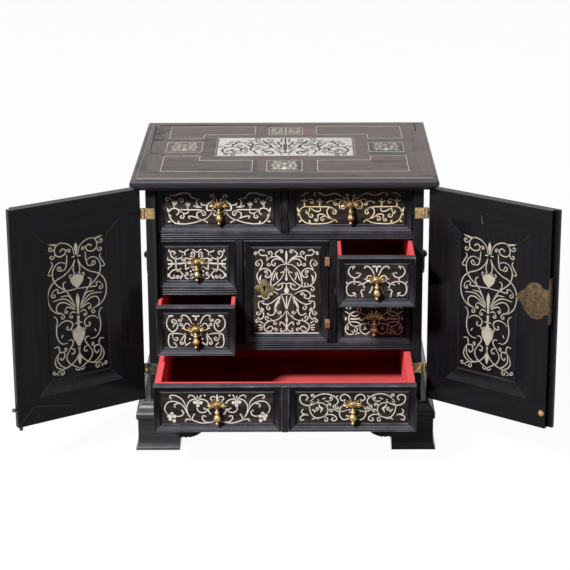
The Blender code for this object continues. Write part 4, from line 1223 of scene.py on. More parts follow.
def moulded_front(name, drawing, node, corners, width, body, nodes):
    """Front board with a moulded frame round a field of scrolls, between two corners of the node's face."""
    (left, bottom), (right, top) = corners
    crest = settings("mouldings").crest
    profile = [(0.0, -front_thickness(node), 0.0)]
    profile += [(share * width, height * crest, wear) for share, height, wear in FRAME_PROFILE]
    board = ringed(name, *corners, profile)
    board.transform(field_place(node))
    piece(name, board, body, ("frame_wood", "field_wood"), nodes)
    size = (right - left - 2 * width, top - bottom - 2 * width)
    middle = field_place(node, (left + right) / 2, (bottom + top) / 2)
    look = "gilt_bone" if drawing == "top_right" else "bone"
    inlaid("scrolls_" + drawing, drawing, *size, middle, body, look, 1.0, BARE_GROUND.get(drawing, 0.0))


class CASKET_OT_finishes(bpy.types.Operator):
    """Makes the finishes and the node trees that the pieces share"""

    bl_idname = "casket.finishes"
    bl_label = "Finishes"

    def execute(self, context):
        look = settings("finish")
        ebony, brown = tuple(look.ebony), tuple(look.brown)
        ground = tuple(a * b for a, b in zip(brown, (1.05, 1.16, 1.26, 1.0)))
        arris_colour, dust_and_sheen_bloom = tuple(look.worn), tuple(look.dust_and_sheen_bloom)
        # Frame, rail and board woods take a pale bloom colour on their arrises: painted highlights along with
        # the wear
        wood("frame_wood", tinted(ebony, 1.2), tinted(ebony, 2.8), 0.30, 0.05, 1.0, tinted(dust_and_sheen_bloom, 2.6))
        wood("rail_wood", tinted(ebony, 1.9), tinted(ebony, 5.0), 0.30, 0.05, 0.36, tinted(dust_and_sheen_bloom, 1.7))
        wood("field_wood", ground, tinted(ground, 3.0), 0.42, 0.05, 0.0, arris_colour, 1.2, 160.0)
        # The bluish black of the doors paints the bluish sheen of their polish: painted reflection
        night = (1.25 * ebony[0], 1.3 * ebony[1], 1.7 * ebony[2], 1.0)
        wood("door_wood", night, tinted(brown, 0.72), 0.17, 0.085, 0.03, tinted(arris_colour, 0.9), 1.1, 150.0)
        wood("slab_wood", tinted(brown, 0.14), (0.076, 0.041, 0.034, 1.0), 0.34, 0.19, 0.0, arris_colour, 1.9, 60.0)
        wood("board_wood", tinted(ebony, 5.2), tinted(ebony, 9.6), 0.32, 0.09, 0.38, tinted(dust_and_sheen_bloom, 1.3))
        wood("outer_wood", tinted(ebony, 3.0), tinted(brown, 2.0), 0.42, 0.24, 0.3, arris_colour)
        wood("tray_wood", tinted(brown, 1.2), tinted(brown, 3.0), 0.60, 0.10, 0.3, arris_colour)
        wood("scratched_wood", (0.075, 0.070, 0.072, 1.0), (0.12, 0.11, 0.11, 1.0), 0.5, 0.1, 0.0, arris_colour)
        wood("bare_wood", (0.42, 0.39, 0.37, 1.0), (0.55, 0.51, 0.49, 1.0), 0.5, 0.1, 0.0, arris_colour)
        wood("repair_wood", (0.15, 0.060, 0.052, 1.0), (0.21, 0.085, 0.072, 1.0), 0.34, 0.19, 0.0, arris_colour)
        bone("bone", tuple(look.bone), tinted(look.bone, 0.80))
        # Darker, yellower bone for the door panels
        bone("aged_bone", (0.50, 0.45, 0.37, 1.0), (0.38, 0.33, 0.26, 1.0))
        bone("gilt_bone", (0.86, 0.73, 0.48, 1.0), (0.70, 0.55, 0.32, 1.0))
        bone("tablet_bone", (0.60, 0.55, 0.48, 1.0), (0.40, 0.35, 0.29, 1.0))
        bone("plaque_bone", (0.72, 0.69, 0.65, 1.0), (0.58, 0.54, 0.50, 1.0))
        bone("dark_mastic", (0.080, 0.068, 0.070, 1.0), (0.046, 0.039, 0.041, 1.0), 0.10)
        bone("shade", (0.0015, 0.0012, 0.001, 1.0), (0.001, 0.001, 0.001, 1.0), 0.02)
        brass = tuple(look.brass)
        metal("brass", tinted(brass, 0.92), (0.055, 0.034, 0.014, 1.0), 0.24, 0.76)
        metal("dull_brass", (0.205, 0.135, 0.070, 1.0), (0.042, 0.029, 0.020, 1.0), 0.40, 0.60)
        metal("worn_brass", (0.42, 0.31, 0.15, 1.0), (0.055, 0.040, 0.022, 1.0), 0.32, 0.50)
        metal("hinge_brass", tinted(brass, 1.05), (0.14, 0.092, 0.046, 1.0), 0.22, 0.45)
        metal("rusted_iron", (0.34, 0.25, 0.13, 1.0), (0.030, 0.023, 0.017, 1.0), 0.32, 0.62)
        metal("copper", (0.50, 0.27, 0.14, 1.0), (0.20, 0.10, 0.055, 1.0), 0.34, 0.50)
        metal("iron", (0.20, 0.18, 0.165, 1.0), (0.035, 0.028, 0.024, 1.0), 0.34, 0.70)
        lining_paper("lining", tuple(look.lining))
        for tree in (strip_tree, wire_tree, nail_tree, rosette_tree):
            tree()
        return {"FINISHED"}


# Moulded edge of the slab from its underside up: inset and rise in millimetres, and wear (rubbed arrises and
# painted highlights)
SLAB_PROFILE = (
    (7.2, 0.0, 0.0), (6.9, 0.7, 0.0), (6.3, 1.6, 0.0), (5.4, 2.5, 0.0), (4.4, 3.3, 0.0), (3.2, 4.1, 0.0),
    (2.1, 4.55, 0.2), (1.4, 4.7, 0.4), (1.05, 4.85, 0.2), (1.0, 5.9, 0.0), (0.5, 6.2, 0.3), (0.15, 6.8, 0.3),
    (0.0, 7.6, 0.2), (0.0, 9.8, 0.1), (0.15, 10.8, 0.1), (0.5, 11.6, 0.1), (1.0, 12.2, 0.1), (1.6, 12.6, 0.2),
    (2.3, 12.8, 0.3), (4.0, 12.95, 0.2), (6.0, 13.1, 0.2), (6.8, 13.15, 0.2), (6.9, 13.55, 0.7),
    (7.1, 13.76, 1.0), (7.6, 13.8, 1.0), (8.1, 13.8, 0.2),
)

# Tablets of the slab, along x and y in millimetres, and the share of one that its scrolls fill
TABLETS = {
    "left": ((-146.8, -103), (31, 77.5)), "right": ((103, 146), (31, 76)),
    "front": ((-21.5, 20.5), (-55.5, -8)),
    "back_left": ((-21.5, -0.6), (114.5, 150)), "back_right": ((0.4, 21.5), (114.5, 150)),
}
TABLET_FILL = 0.86
PLAQUE_RIM = (2.2 * MM, 0.8 * MM)

# Faults of the old top: finish, and lines of points (x, y, half the width) in millimetres
SLAB_FAULTS = {
    # Dark lines in the shade finish: painted shade along the cracks and the raised edges of the veneers
    "cracks": ("shade", (
        ((-163, 162, 1.8), (-120, 162.5, 2.6), (-80, 162, 1.8), (-5, 161.5, 0.5)),
        ((-168, 163, 0.6), (-167, 120, 0.8), (-166.5, 70, 0.5), (-165.5, 27, 0.3)),
        ((-165, 121, 1.5), (-157, 126, 1.3), (-148.5, 146, 0.4)),
        ((-167, 90, 2.2), (-152, 90, 1.6)),
        ((-166, 28, 1.0), (-147.5, 19, 0.8)),
        ((166.5, 171, 0.8), (166.5, 130, 0.6)),
    )),
    "repair": ("repair_wood", (((22.6, 130, 17), (37.6, 130, 17)),)),
    # A pale line along the front of the top: partly rubbed wear, partly a painted highlight on the arris
    "rubbed_edge": ("bare_wood", (((-172, -87.1, 0.9), (0, -87.1, 0.6), (172, -87.1, 0.8)),)),
}
FAULT_STAND = 0.08 * MM


def veneered(mesh, high):
    """Cuts the slab's top into its veneers, each with its own grain direction and tone."""
    bm = bmesh.new()
    bm.from_mesh(mesh)
    grain = bm.loops.layers.uv["grain"]
    tone = bm.faces.layers.float.new("tone")
    bm.normal_update()
    for face in bm.faces:
        low_step = high - face.calc_center_median().z
        if face.normal.z > 0.95 and (low_step < 0.01 * MM or low_step > 0.6 * MM):
            face.material_index = 1
    cuts = [(0, side * x) for side in (-1, 1) for x in (STRING_OUT, STRING_STEP, STRING_IN)]
    cuts += [(1, y) for y in STRING_BACK + STRING_FRONT]
    for axis, cut in cuts:
        top = [face for face in bm.faces if face.material_index == 1]
        parts = top + list({e for f in top for e in f.edges}) + list({v for f in top for v in f.verts})
        way = Vector((1, 0, 0)) if axis == 0 else Vector((0, 1, 0))
        bmesh.ops.bisect_plane(bm, geom=parts, plane_co=way * cut, plane_no=way)
    for face in bm.faces:
        if face.material_index != 1:
            continue
        centre = face.calc_center_median()
        side = abs(centre.x) > STRING_OUT
        end = not STRING_FRONT[2] < centre.y < STRING_BACK[2]
        across = (side and not end) or (abs(centre.x) < STRING_IN and not end)
        code = round(centre.x * 300) * 0.37 + round(centre.y * 300) * 0.61
        if end:
            code = 3.0 if centre.y > 0 else 7.0
        elif side:
            code = 11.0 if centre.x > 0 else 13.0
        face[tone] = 0.5 + 0.5 * math.sin(code * 2.3)
        for loop in face.loops:
            x, y = loop.vert.co.xy
            loop[grain].uv = (y + code, x) if across else (x + code, y)
    bm.to_mesh(mesh)
    bm.free()
    return mesh


class CASKET_OT_slab(bpy.types.Operator):
    """Top slab with its moulded edge, stringing, tablets, old faults and bone plaque"""

    bl_idname = "casket.slab"
    bl_label = "Top slab"

    def execute(self, context):
        low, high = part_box("top_slab")
        profile = [(inset * MM, low.z + rise * MM, worn) for inset, rise, worn in SLAB_PROFILE]
        slab = veneered(ringed("slab_top", low.xy, high.xy, profile, 1, 28.0), high.z)
        piece("slab_top", slab, "carcass", ("board_wood", "slab_wood"), ("top_slab",))
        top = Matrix.Translation((0.0, 0.0, high.z))
        self.panels(top)
        for label, (look, faults) in SLAB_FAULTS.items():
            paths = [[(x * MM, y * MM, 0.0, half * MM) for x, y, half in fault] for fault in faults]
            strips("slab_" + label, paths, FAULT_STAND, look, top, "carcass")
        self.plaque(high.z)
        return {"FINISHED"}

    def panels(self, top):
        """Lines round the veneers, the tablets and the plaque, and the tablets' scrolls."""
        width = settings("inlay").string
        outlines = []
        for side in (-1.0, 1.0):
            x_out, x_step, x_in = side * STRING_OUT, side * STRING_STEP, side * STRING_IN
            for inner, step, outer in (STRING_BACK, STRING_FRONT):
                outlines.append([
                    (x_out, inner), (x_out, outer), (x_in, outer),
                    (x_in, step), (x_step, step), (x_step, inner),
                ])
        tablets = {
            label: [(start * MM, end * MM) for start, end in spans] for label, spans in TABLETS.items()
        }
        outlines += [rectangle(*spans) for spans in tablets.values()]
        stringing("slab_stringing", outlines, top, width)
        rim = [(start - out, end + out) for (start, end), out in zip((PLAQUE_X, PLAQUE_Y), PLAQUE_RIM)]
        stringing("slab_plaque_line", [rectangle(*rim)], top, 0.6 * width)
        for label, (x, y) in tablets.items():
            size = [(end - start) * TABLET_FILL for start, end in (x, y)]
            middle = top @ Matrix.Translation((sum(x) / 2, sum(y) / 2, 0.0))
            look = "bone" if label == "front" else "tablet_bone"
            inlaid("slab_tablet_" + label, "tablet", *size, middle, "carcass", look, 0.95)

    def plaque(self, top):
        """Bone plaque in the middle, with dark scrolls."""
        proud = settings("inlay").proud
        face = top + 1.2 * proud
        edge = ((0.0, top - 0.4 * MM, 0.0), (0.0, top + proud, 0.0), (0.2 * MM, face, 0.0))
        low, high = zip(PLAQUE_X, PLAQUE_Y)
        plate = ringed("slab_plaque", low, high, edge, 0)
        piece("slab_plaque", plate, "carcass", ("plaque_bone",))
        size = (high[0] - low[0], high[1] - low[1])
        middle = Matrix.Translation((sum(PLAQUE_X) / 2, sum(PLAQUE_Y) / 2, face))
        room = BARE_GROUND["plaque"]
        inlaid("slab_plaque_scrolls", "plaque", *size, middle, "carcass", "dark_mastic", 1.5, room)


# Painted highlight lines of the plinth (inset from its box, and height) and of the feet (height), the run of
# a foot's lines from its corner, and the radius of them all
PLINTH_LINES = ((0.95 * MM, 46.3 * MM), (9.2 * MM, 59.2 * MM))
FOOT_LINES = (0.5 * MM, 4.0 * MM)
FOOT_RUN = 55 * MM
HIGHLIGHT_RADIUS = 0.24 * MM

# Boards of the carcass and the way of their grain
BOARDS = {
    "side_left": "z", "side_right": "z", "back_board": "x", "bottom_board": "x",
    "upper_board": "x", "lower_board": "x", "partition_left": "z", "partition_right": "z",
}


class CASKET_OT_carcass(bpy.types.Operator):
    """Side, back, bottom and dust boards, partitions and plinth with softened arrises"""

    bl_idname = "casket.carcass"
    bl_label = "Carcass and plinth"

    def execute(self, context):
        arris = settings("mouldings").arris
        for node, along in BOARDS.items():
            look = "outer_wood" if node == "back_board" else "rail_wood"
            dressed("dressed_" + node, node, arris * 0.6, along, 62.0, "carcass", look)
        dressed("dressed_plinth", "plinth", arris, "round", 48.0, "carcass", "board_wood")
        self.painted_highlight_lines()
        return {"FINISHED"}

    def painted_highlight_lines(self):
        """Pale lines round the plinth's moulding and round the base of each foot: painted highlights on the
        arrises.
        """
        low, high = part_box("plinth")
        paths = []
        for inset, rise in PLINTH_LINES:
            ring = rectangle((low.x + inset, high.x - inset), (low.y + inset, high.y - inset))
            paths += sides_of(ring, rise)
        for rise in FOOT_LINES:
            for x, inward in ((low.x, FOOT_RUN), (high.x, -FOOT_RUN)):
                for y, back in ((low.y, FOOT_RUN), (high.y, -FOOT_RUN)):
                    paths.append([(x + inward, y, rise), (x, y, rise), (x, y + back, rise)])
        fine_lines("plinth_rubbed_arrises", paths, HIGHLIGHT_RADIUS, "bare_wood", Matrix(), "carcass")


# Half the width of the fillet in the bottom front; walls, floor and lining of the trays
MUNTIN_HALF = 4.6 * MM
TRAY_WALL = 5.0 * MM
BOTTOM_WALL = 8.2 * MM
TRAY_FLOOR = 4.0 * MM
PAPER = 0.25 * MM


class CASKET_OT_drawers(bpy.types.Operator):
    """Drawer fronts with their frames and scrolls, trays and red linings"""

    bl_idname = "casket.drawers"
    bl_label = "Drawers"

    def execute(self, context):
        width = settings("mouldings").frame_width
        for label in DRAWERS:
            name = "drawer_" + label
            node = name + "_front"
            moulded_front(name + "_moulded_front", label, node, front_corners(node), width, name, (node,))
            self.tray(name, TRAY_WALL)
        name = "drawer_bottom"
        node = name + "_front"
        low, high = front_corners(node)
        left = (low, (-MUNTIN_HALF, high[1]))
        right = ((MUNTIN_HALF, low[1]), high)
        moulded_front(node + "_left", "bottom_left", node, left, width, name, (node,))
        moulded_front(node + "_right", "bottom_right", node, right, width, name, ())
        self.muntin(node, low[1], high[1])
        self.tray(name, BOTTOM_WALL)
        return {"FINISHED"}

    def muntin(self, node, bottom, top):
        """Reeded fillet between the two halves of the bottom front."""
        crest = settings("mouldings").crest
        face = 1.02 * crest
        edge = (
            (0.0, -front_thickness(node), 0.0), (0.0, 0.9 * crest, 0.4),
            (0.25 * MM, face, 1.0), (0.9 * MM, face, 0.5),
        )
        half = MUNTIN_HALF - 0.1 * MM
        fillet = ringed("muntin", (-half, bottom), (half, top), edge, 0)
        fillet.transform(field_place(node))
        piece("drawer_bottom_muntin", fillet, "drawer_bottom", ("frame_wood",))
        places = [(i - 1.5) * 1.9 * MM for i in range(4)]
        paths = [[(x, bottom + 0.2 * MM, face), (x, top - 1.5 * MM, face)] for x in places]
        reeds = wires(paths, 0.6 * MM, 10, "board_wood")
        reeds.transform(field_place(node))
        piece("drawer_bottom_reeds", shaded(reeds, 40.0), "drawer_bottom")

    def tray(self, name, wall):
        """Tray, and its lining over walls and floor, darkened towards the back with painted shade."""
        node = name + "_tray"
        low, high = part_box(node)
        dressed(name + "_box", node, 0.3 * MM, "round", 60.0, name, "tray_wood")
        floor = low.z + TRAY_FLOOR
        behind, before = wall - PAPER, wall + PAPER
        under, over = high.z - PAPER, high.z + PAPER
        profile = (
            (behind, floor - PAPER, 0.0), (behind, under, 0.0), (0.9 * MM, under, 0.0), (0.9 * MM, over, 0.0),
            (wall - 0.8 * MM, over, 0.0), (wall - 0.1 * MM, high.z, 0.0), (before, high.z - 0.6 * MM, 0.0),
            (before, floor + 0.8 * MM, 0.0), (wall + 0.8 * MM, floor + PAPER, 0.0),
        )
        shell = ringed(name + "_lining", low.xy, high.xy, profile, 0, 30.0)
        # Depth from the tray's front below the rim, which darkens the lining as painted shade
        for vert, painted_shade in zip(shell.vertices, shell.attributes["wear"].data):
            if vert.co.z < high.z - 0.5 * MM:
                painted_shade.value = (vert.co.y - low.y) / (high.y - low.y)
        piece(name + "_lining", shell, name, ("lining",))


def door_place(side, out):
    """Matrix of an open door's inner face: x from the hinge axis along the door, y up, z out of the face."""
    opening = OPEN_LEFT if side < 0 else OPEN_RIGHT
    run = Vector((-side * math.cos(opening), -math.sin(opening), 0.0))
    out_way = Vector((-side * math.sin(opening), math.cos(opening), 0.0))
    axis = Vector((side * (HALF_CARCASS + HINGE_OUT), FRONT_Y, 0.0))
    along = run if side > 0 else -run
    return facing(axis + out_way * (out - DOOR_GAP), along, (0, 0, 1))


# Finish and points of each door's old scratch, along the door and up in millimetres.
# The left one is long, at the lower outer corner, and the right one is short, at the top.
SCRATCHES = {
    "left": ("scratched_wood", ((-168, 60.8), (-148, 82.5), (-120, 77.5), (-92, 72))),
    "right": ("bare_wood", ((73.5, 303), (74.5, 298), (76, 293))),
}
SCRATCH_RADIUS = 0.13 * MM

# Shares of a door's panel that its scrolls fill, across and up
DOOR_FILL = (0.96, 0.975)


def railed(mesh, along, centre):
    """Lays a door's grain along its rails, above and below the panel, and up its stiles."""
    bm = bmesh.new()
    bm.from_mesh(mesh)
    grain = bm.loops.layers.uv["grain"]
    rail = PANEL_H / 2 + SLOPE_W
    for cut in (centre - rail, centre + rail):
        parts = list(bm.faces) + list(bm.edges) + list(bm.verts)
        bmesh.ops.bisect_plane(bm, geom=parts, plane_co=(0, 0, cut), plane_no=(0, 0, 1))
    for face in bm.faces:
        in_rail = abs(face.calc_center_median().z - centre) > rail
        for loop in face.loops:
            run, rise = loop.vert.co.dot(along), loop.vert.co.z
            loop[grain].uv = (run, rise) if in_rail else (rise, run)
    return as_mesh(bm, mesh.name, 5.0)


class CASKET_OT_doors(bpy.types.Operator):
    """Outer doors with their scroll panels, and the small centre door"""

    bl_idname = "casket.doors"
    bl_label = "Doors"

    def execute(self, context):
        sizes = settings("mouldings")
        for label, side, reach in (("left", -1, REACH_LEFT), ("right", 1, REACH_RIGHT)):
            node, body = label + "_door", "door_" + label
            place = door_place(side, -PANEL_DEPTH)
            low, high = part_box(node)
            centre = (low.z + high.z) / 2
            board = railed(arrised(node, sizes.arris, "z", 12.0), place.to_3x3() @ Vector((1, 0, 0)), centre)
            piece("dressed_" + node, board, body, ("door_wood",), (node,))
            middle = place @ Matrix.Translation((side * (HINGE_OUT + reach) / 2, centre, 0.0))
            size = (PANEL_W * DOOR_FILL[0], PANEL_H * DOOR_FILL[1])
            room = BARE_GROUND["door"]
            inlaid("scrolls_door_" + label, "door", *size, middle, body, "aged_bone", 1.02, room)
            fine_lines("mitres_door_" + label, self.mitres(), SCRATCH_RADIUS, "scratched_wood", middle, body)
            look, points = SCRATCHES[label]
            scratch = [(along * MM, up * MM, PANEL_DEPTH) for along, up in points]
            fine_lines("scratch_door_" + label, [scratch], SCRATCH_RADIUS, look, place, body)
        node = "centre_door"
        width = sizes.centre_width
        moulded_front(node + "_moulded", node, node, front_corners(node), width, "door_centre", (node,))
        return {"FINISHED"}

    def mitres(self):
        """Lines along the corners and the inner edge of the panel's sloping border."""
        paths = []
        for across in (-1, 1):
            for up in (-1, 1):
                inner = (across * PANEL_W / 2, up * PANEL_H / 2, PANEL_DEPTH - SLOPE_DEPTH)
                outer = (across * (PANEL_W / 2 + SLOPE_W), up * (PANEL_H / 2 + SLOPE_W), PANEL_DEPTH)
                x, y, rise = inner
                paths += [[inner, outer], [inner, (-x, y, rise)], [inner, (x, -y, rise)]]
        return paths


# Turned drop of a pull: radius and fall below its bar in millimetres, and how it is widened and fluted
DROP_PROFILE = (
    (0.0, 2.0), (0.9, 2.15), (1.25, 2.6), (1.3, 3.1), (1.15, 3.6), (1.2, 4.1), (1.7, 4.5), (2.3, 5.0),
    (2.75, 5.6), (2.9, 6.3), (2.75, 7.0), (2.3, 7.6), (1.75, 8.0), (1.6, 8.4), (2.2, 8.7), (2.45, 9.0),
    (2.2, 9.3), (1.7, 9.6), (2.0, 10.1), (2.7, 10.9), (3.3, 11.8), (3.75, 12.8), (3.9, 13.8), (3.85, 14.8),
    (3.5, 15.9), (2.9, 16.9), (2.2, 17.8), (1.55, 18.5), (1.2, 19.0), (1.5, 19.4), (1.85, 20.0), (1.85, 20.8),
    (1.5, 21.6), (0.9, 22.3), (0.0, 22.6),
)
DROP_WIDER = 1.17
FLUTES = 10
FLUTE_DEPTH = 0.42 * MM
FLUTE_BAND = (-18.4 * MM, -10.0 * MM)

# Reach of the rosette's leaves as a share of its packed size, and its stand; the staple's round bar, half
# its width and its bend; the eye of the drop that hangs on it
ROSETTE_REACH = 0.55
ROSETTE_STAND = 2.1 * MM
BAR = 0.7 * MM
STAPLE_HALF = 2.6 * MM
STAPLE_BEND = 1.4 * MM
EYE = 2.0 * MM
EYE_WIRE = 0.6 * MM
EYE_FALL = 0.3 * MM


class CASKET_OT_pulls(bpy.types.Operator):
    """Brass drop pulls: stamped rosette, staple and fluted drop"""

    bl_idname = "casket.pulls"
    bl_label = "Drop pulls"

    def execute(self, context):
        for label in PULLS:
            body = "drawer_bottom" if label.startswith("bottom") else "drawer_" + label
            self.pull(label, body)
        return {"FINISHED"}

    def pull(self, label, body):
        node = "pull_" + label + "_rosette"
        low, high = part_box(node)
        x, z = (low.x + high.x) / 2, (low.z + high.z) / 2
        bar, seat = low.y + BAR, high.y
        rosette = grown(bpy.data.meshes.new("blank"), "stamped_rosette", {
            "Half width": (high.x - low.x) * ROSETTE_REACH, "Half height": (high.z - low.z) * ROSETTE_REACH,
            "Thickness": ROSETTE_STAND, "Finish": finish("brass"),
        })
        rosette.transform(upright(x, seat, z))
        path = [(-STAPLE_HALF, seat - bar, 0.0), (-STAPLE_HALF, STAPLE_BEND, 0.0)]
        for turn in (0.5, 1.05, 1.57):
            across = -STAPLE_HALF + STAPLE_BEND - STAPLE_BEND * math.cos(turn)
            path.append((across, STAPLE_BEND - STAPLE_BEND * math.sin(turn), 0.0))
        path += [(-across, out, up) for across, out, up in reversed(path)]
        staple = wires([path], BAR, 12, "brass")
        staple.transform(Matrix.Translation((x, bar, z)))
        both = merged("rosette", (rosette, staple), 50.0)
        piece("brass_rosette_" + label, both, body, ("brass",), (node,))
        profile = [(DROP_WIDER * radius * MM, -fall * MM) for radius, fall in DROP_PROFILE]
        drop = as_mesh(turned(profile, 48, FLUTES, FLUTE_DEPTH, FLUTE_BAND), "drop", 50.0)
        turns = np.linspace(0, FULL_TURN, 25)
        ring = [(0.0, EYE * math.cos(turn), EYE * math.sin(turn) - EYE_FALL) for turn in turns]
        whole = merged("drop", (drop, wires([ring], EYE_WIRE, 12, "brass")), 50.0)
        whole.transform(Matrix.Translation((x, bar, z - EYE_FALL)))
        node = "pull_" + label + "_drop"
        piece("brass_drop_" + label, whole, "drop_" + label, ("brass",), (node,))


# Nails of the lock, along the door and up in millimetres; the catch stud's place, and its radii and
# heights in millimetres
LOCK_NAILS = ((148.9, 231.5), (137.0, 219.2), (137.8, 203.2))
NAIL_RADIUS = 1.0 * MM
LOCK_FACE = 1.06 * MM
STUD_PLACE = (159.5 * MM, 79.0 * MM, 0.0)
STUD_PROFILE = (
    (0.0, 4.2), (1.3, 4.0), (2.2, 3.4), (2.5, 2.6), (2.2, 1.9), (2.4, 1.5), (3.6, 1.1), (3.8, 0.5),
    (3.8, -0.4), (0.0, -0.4),
)

# Painted shade in the keyhole, from its lower left to its upper right corner, and the iron staple on the
# right partition
KEYHOLE = ((-1.4 * MM, -3.4 * MM), (1.4 * MM, 2.8 * MM))
HOOP_X = 59.5 * MM
HOOP_ENDS = (197 * MM, 196.4 * MM)
HOOP_MIDDLE = 192 * MM
HOOP_RADIUS = 0.55 * MM


class CASKET_OT_fittings(bpy.types.Operator):
    """Hinges, lock plate, bolt, escutcheon and side handles"""

    bl_idname = "casket.fittings"
    bl_label = "Hinges, lock and handles"

    def execute(self, context):
        for side in ("left", "right"):
            door = "door_" + side
            for level in ("lower", "upper"):
                name = side + "_hinge_" + level
                leaf, knuckle = name + "_fixed", name + "_moving"
                look = "iron" if name == "left_hinge_lower" else "hinge_brass"
                name = "brass_" + name
                dressed(name + "_leaf", leaf, 0.15 * MM, "z", 40.0, "carcass", look)
                dressed(name + "_knuckle", knuckle, 0.15 * MM, "z", 40.0, door, "hinge_brass")
            plate, bail = "handle_plate_" + side, "bail_" + side
            dressed("iron_plate_" + side, plate, 0.3 * MM, "y", 40.0, "carcass", "rusted_iron")
            dressed("iron_" + bail, bail, 0.0, "y", 60.0, "handle_" + side, "rusted_iron")
        for level in ("lower", "upper"):
            name = "centre_hinge_" + level
            dressed("brass_" + name, name, 0.12 * MM, "z", 40.0, "door_centre", "copper")
        dressed("brass_lock_plate", "lock_plate", 0.2 * MM, "z", 40.0, "door_right", "dull_brass")
        dressed("brass_escutcheon", "escutcheon", 0.3 * MM, "z", 60.0, "door_centre", "worn_brass")
        self.small_work()
        dressed("iron_bolt", "left_bolt", 0.2 * MM, "z", 60.0, "bolt_left", "iron")
        return {"FINISHED"}

    def small_work(self):
        """Lock nails, the painted shade in the keyhole, the catch stud and the partition's staple."""
        inner = door_place(1, 0.0)
        spots = [(along * MM, up * MM) for along, up in LOCK_NAILS]
        plate = inner @ Matrix.Translation((0.0, 0.0, LOCK_FACE))
        # The nail heads take the shade finish: painted shade of the nail holes
        nailed("lock_nails", spots, NAIL_RADIUS, plate, "door_right", "shade")
        low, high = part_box("escutcheon")
        edge = ((0.0, 0.05 * MM, 0.0), (0.0, 0.6 * MM, 0.0), (0.2 * MM, 0.65 * MM, 0.0))
        hole = ringed("keyhole", *KEYHOLE, edge, 0)
        hole.transform(upright((low.x + high.x) / 2, high.y, (low.z + high.z) / 2))
        piece("keyhole_dark", hole, "door_centre", ("shade",))
        profile = [(radius * MM, height * MM) for radius, height in STUD_PROFILE]
        stud = as_mesh(turned(profile, 20), "stud", 40.0)
        stud.transform(inner @ Matrix.Translation(STUD_PLACE))
        piece("catch_stud", stud, "door_right", ("copper",))
        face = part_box("partition_right")[0].y
        hoop = [(HOOP_X, y, z) for y, z in zip((face + 1.0 * MM, face - 0.9 * MM), HOOP_ENDS)]
        hoop += [(x, y, 2 * HOOP_MIDDLE - z) for x, y, z in reversed(hoop)]
        staple = wires([hoop], HOOP_RADIUS, 10, "iron")
        piece("partition_staple", shaded(staple, 50.0), "carcass")


# Camera, with its turns in radians; the key light's way, distance and aim; the floor's side
CAMERA_PLACE = Vector((0.01947, FRONT_Y - 2.01587, 0.91272))
CAMERA_PITCH = 0.27306
CAMERA_YAW = 0.00374
CAMERA_ROLL = 0.00161
CAMERA_SHIFT = (-0.03969, -0.20433)
KEY_TRAVEL = Vector((0.66, 1.0, -1.0))
KEY_DISTANCE = 2.4
KEY_AIM = Vector((0.0, -0.02, 0.19))
FLOOR_SIZE = 30.0


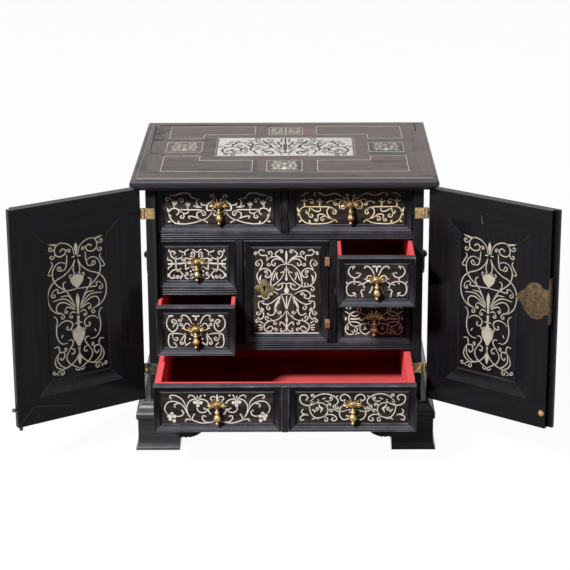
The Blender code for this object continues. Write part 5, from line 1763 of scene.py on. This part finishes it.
class CASKET_OT_stage(bpy.types.Operator):
    """Pale floor, white surround, key light and camera"""

    bl_idname = "casket.stage"
    bl_label = "Studio"

    def execute(self, context):
        studio = settings("studio")
        self.floor()
        self.surround(studio.ambient)
        self.key(studio)
        self.camera(studio.lens)
        context.scene.view_settings.view_transform = "Standard"
        return {"FINISHED"}

    def seen(self, net):
        """1 on rays that show the background, 0 on those that only light the object."""
        path = net.add("ShaderNodeLightPath")
        straight = path.out("Is Camera Ray") + path.out("Is Glossy Ray") + path.out("Is Transmission Ray")
        return straight.clamp()

    def floor(self):
        mesh = bpy.data.meshes.new("studio_floor")
        span = (-FLOOR_SIZE / 2, FLOOR_SIZE / 2)
        mesh.from_pydata([(x, y, 0) for x, y in rectangle(span, span)], [], [(0, 1, 2, 3)])
        net = new_finish("floor")
        seen = self.seen(net)
        shade = net.mix(seen, (0.11, 0.11, 0.11, 1.0), (0.93, 0.93, 0.93, 1.0))
        matt = net.add("ShaderNodeBsdfDiffuse", {"Color": shade})
        white = net.add("ShaderNodeEmission", {"Color": (1.0, 1.0, 1.0, 1.0), "Strength": 1.02})
        both = net.add("ShaderNodeMixShader", {0: seen * 0.95, 1: matt, 2: white})
        net.add("ShaderNodeOutputMaterial", {"Surface": both})
        mesh.materials.append(finish("floor"))
        floor = bpy.data.objects.new("studio_floor", mesh)
        bpy.context.scene.collection.objects.link(floor)

    def surround(self, ambient):
        world = bpy.data.worlds.new("studio_surround")
        world.use_nodes = True
        world.node_tree.nodes.clear()
        net = Net(world.node_tree)
        even = net.add("ShaderNodeBackground", {"Color": (0.97, 0.98, 1.0, 1.0), "Strength": ambient})
        white = net.add("ShaderNodeBackground", {"Color": (1.0, 1.0, 1.0, 1.0), "Strength": 1.0})
        both = net.add("ShaderNodeMixShader", {0: self.seen(net), 1: even, 2: white})
        net.add("ShaderNodeOutputWorld", {"Surface": both})
        bpy.context.scene.world = world

    def key(self, studio):
        lamp = bpy.data.lights.new("studio_key", "AREA")
        lamp.energy = studio.key_power
        lamp.size = studio.key_size
        obj = bpy.data.objects.new("studio_key", lamp)
        bpy.context.scene.collection.objects.link(obj)
        travel = KEY_TRAVEL.normalized()
        obj.location = KEY_AIM - travel * KEY_DISTANCE
        obj.rotation_euler = travel.to_track_quat("-Z", "Y").to_euler()

    def camera(self, lens):
        forward = Vector((
            math.sin(CAMERA_YAW) * math.cos(CAMERA_PITCH),
            math.cos(CAMERA_YAW) * math.cos(CAMERA_PITCH),
            -math.sin(CAMERA_PITCH),
        ))
        level = Vector((math.cos(CAMERA_YAW), -math.sin(CAMERA_YAW), 0.0))
        down = forward.cross(level)
        right = math.cos(CAMERA_ROLL) * level + math.sin(CAMERA_ROLL) * down
        down = math.cos(CAMERA_ROLL) * down - math.sin(CAMERA_ROLL) * level
        data = bpy.data.cameras.new("studio_camera")
        data.sensor_width = 36.0
        data.lens = lens
        data.shift_x, data.shift_y = CAMERA_SHIFT
        data.clip_start = 0.1
        camera = bpy.data.objects.new("studio_camera", data)
        bpy.context.scene.collection.objects.link(camera)
        turn = Matrix((right, -down, -forward)).transposed().to_4x4()
        camera.matrix_world = Matrix.Translation(CAMERA_PLACE) @ turn
        bpy.context.scene.camera = camera


STEPS = (
    CASKET_OT_finishes, CASKET_OT_slab, CASKET_OT_carcass, CASKET_OT_drawers, CASKET_OT_doors,
    CASKET_OT_pulls, CASKET_OT_fittings, CASKET_OT_stage,
)
GROUPS = {
    "mouldings": CasketMouldings, "inlay": CasketInlay, "finish": CasketFinish, "studio": CasketStudio,
}


class CASKET_PT_panel(bpy.types.Panel):
    """Lists the casket's sizes, colours and steps"""

    bl_idname = "CASKET_PT_panel"
    bl_label = "Cabinet casket"
    bl_space_type = "VIEW_3D"
    bl_region_type = "UI"
    bl_category = "Casket"

    def draw(self, context):
        for group, owner in GROUPS.items():
            for name in owner.__annotations__:
                self.layout.prop(settings(group), name)
        for step in STEPS:
            self.layout.operator(step.bl_idname)


CLASSES = tuple(GROUPS.values()) + STEPS + (CASKET_PT_panel,)


def register():
    for cls in CLASSES:
        bpy.utils.register_class(cls)
    for group, owner in GROUPS.items():
        setattr(bpy.types.Scene, "casket_" + group, PointerProperty(type=owner))


def unregister():
    for group in GROUPS:
        delattr(bpy.types.Scene, "casket_" + group)
    for cls in reversed(CLASSES):
        bpy.utils.unregister_class(cls)


def main():
    register()
    for step in STEPS:
        area, name = step.bl_idname.split(".")
        getattr(getattr(bpy.ops, area), name)()


if __name__ == "__main__":
    main()
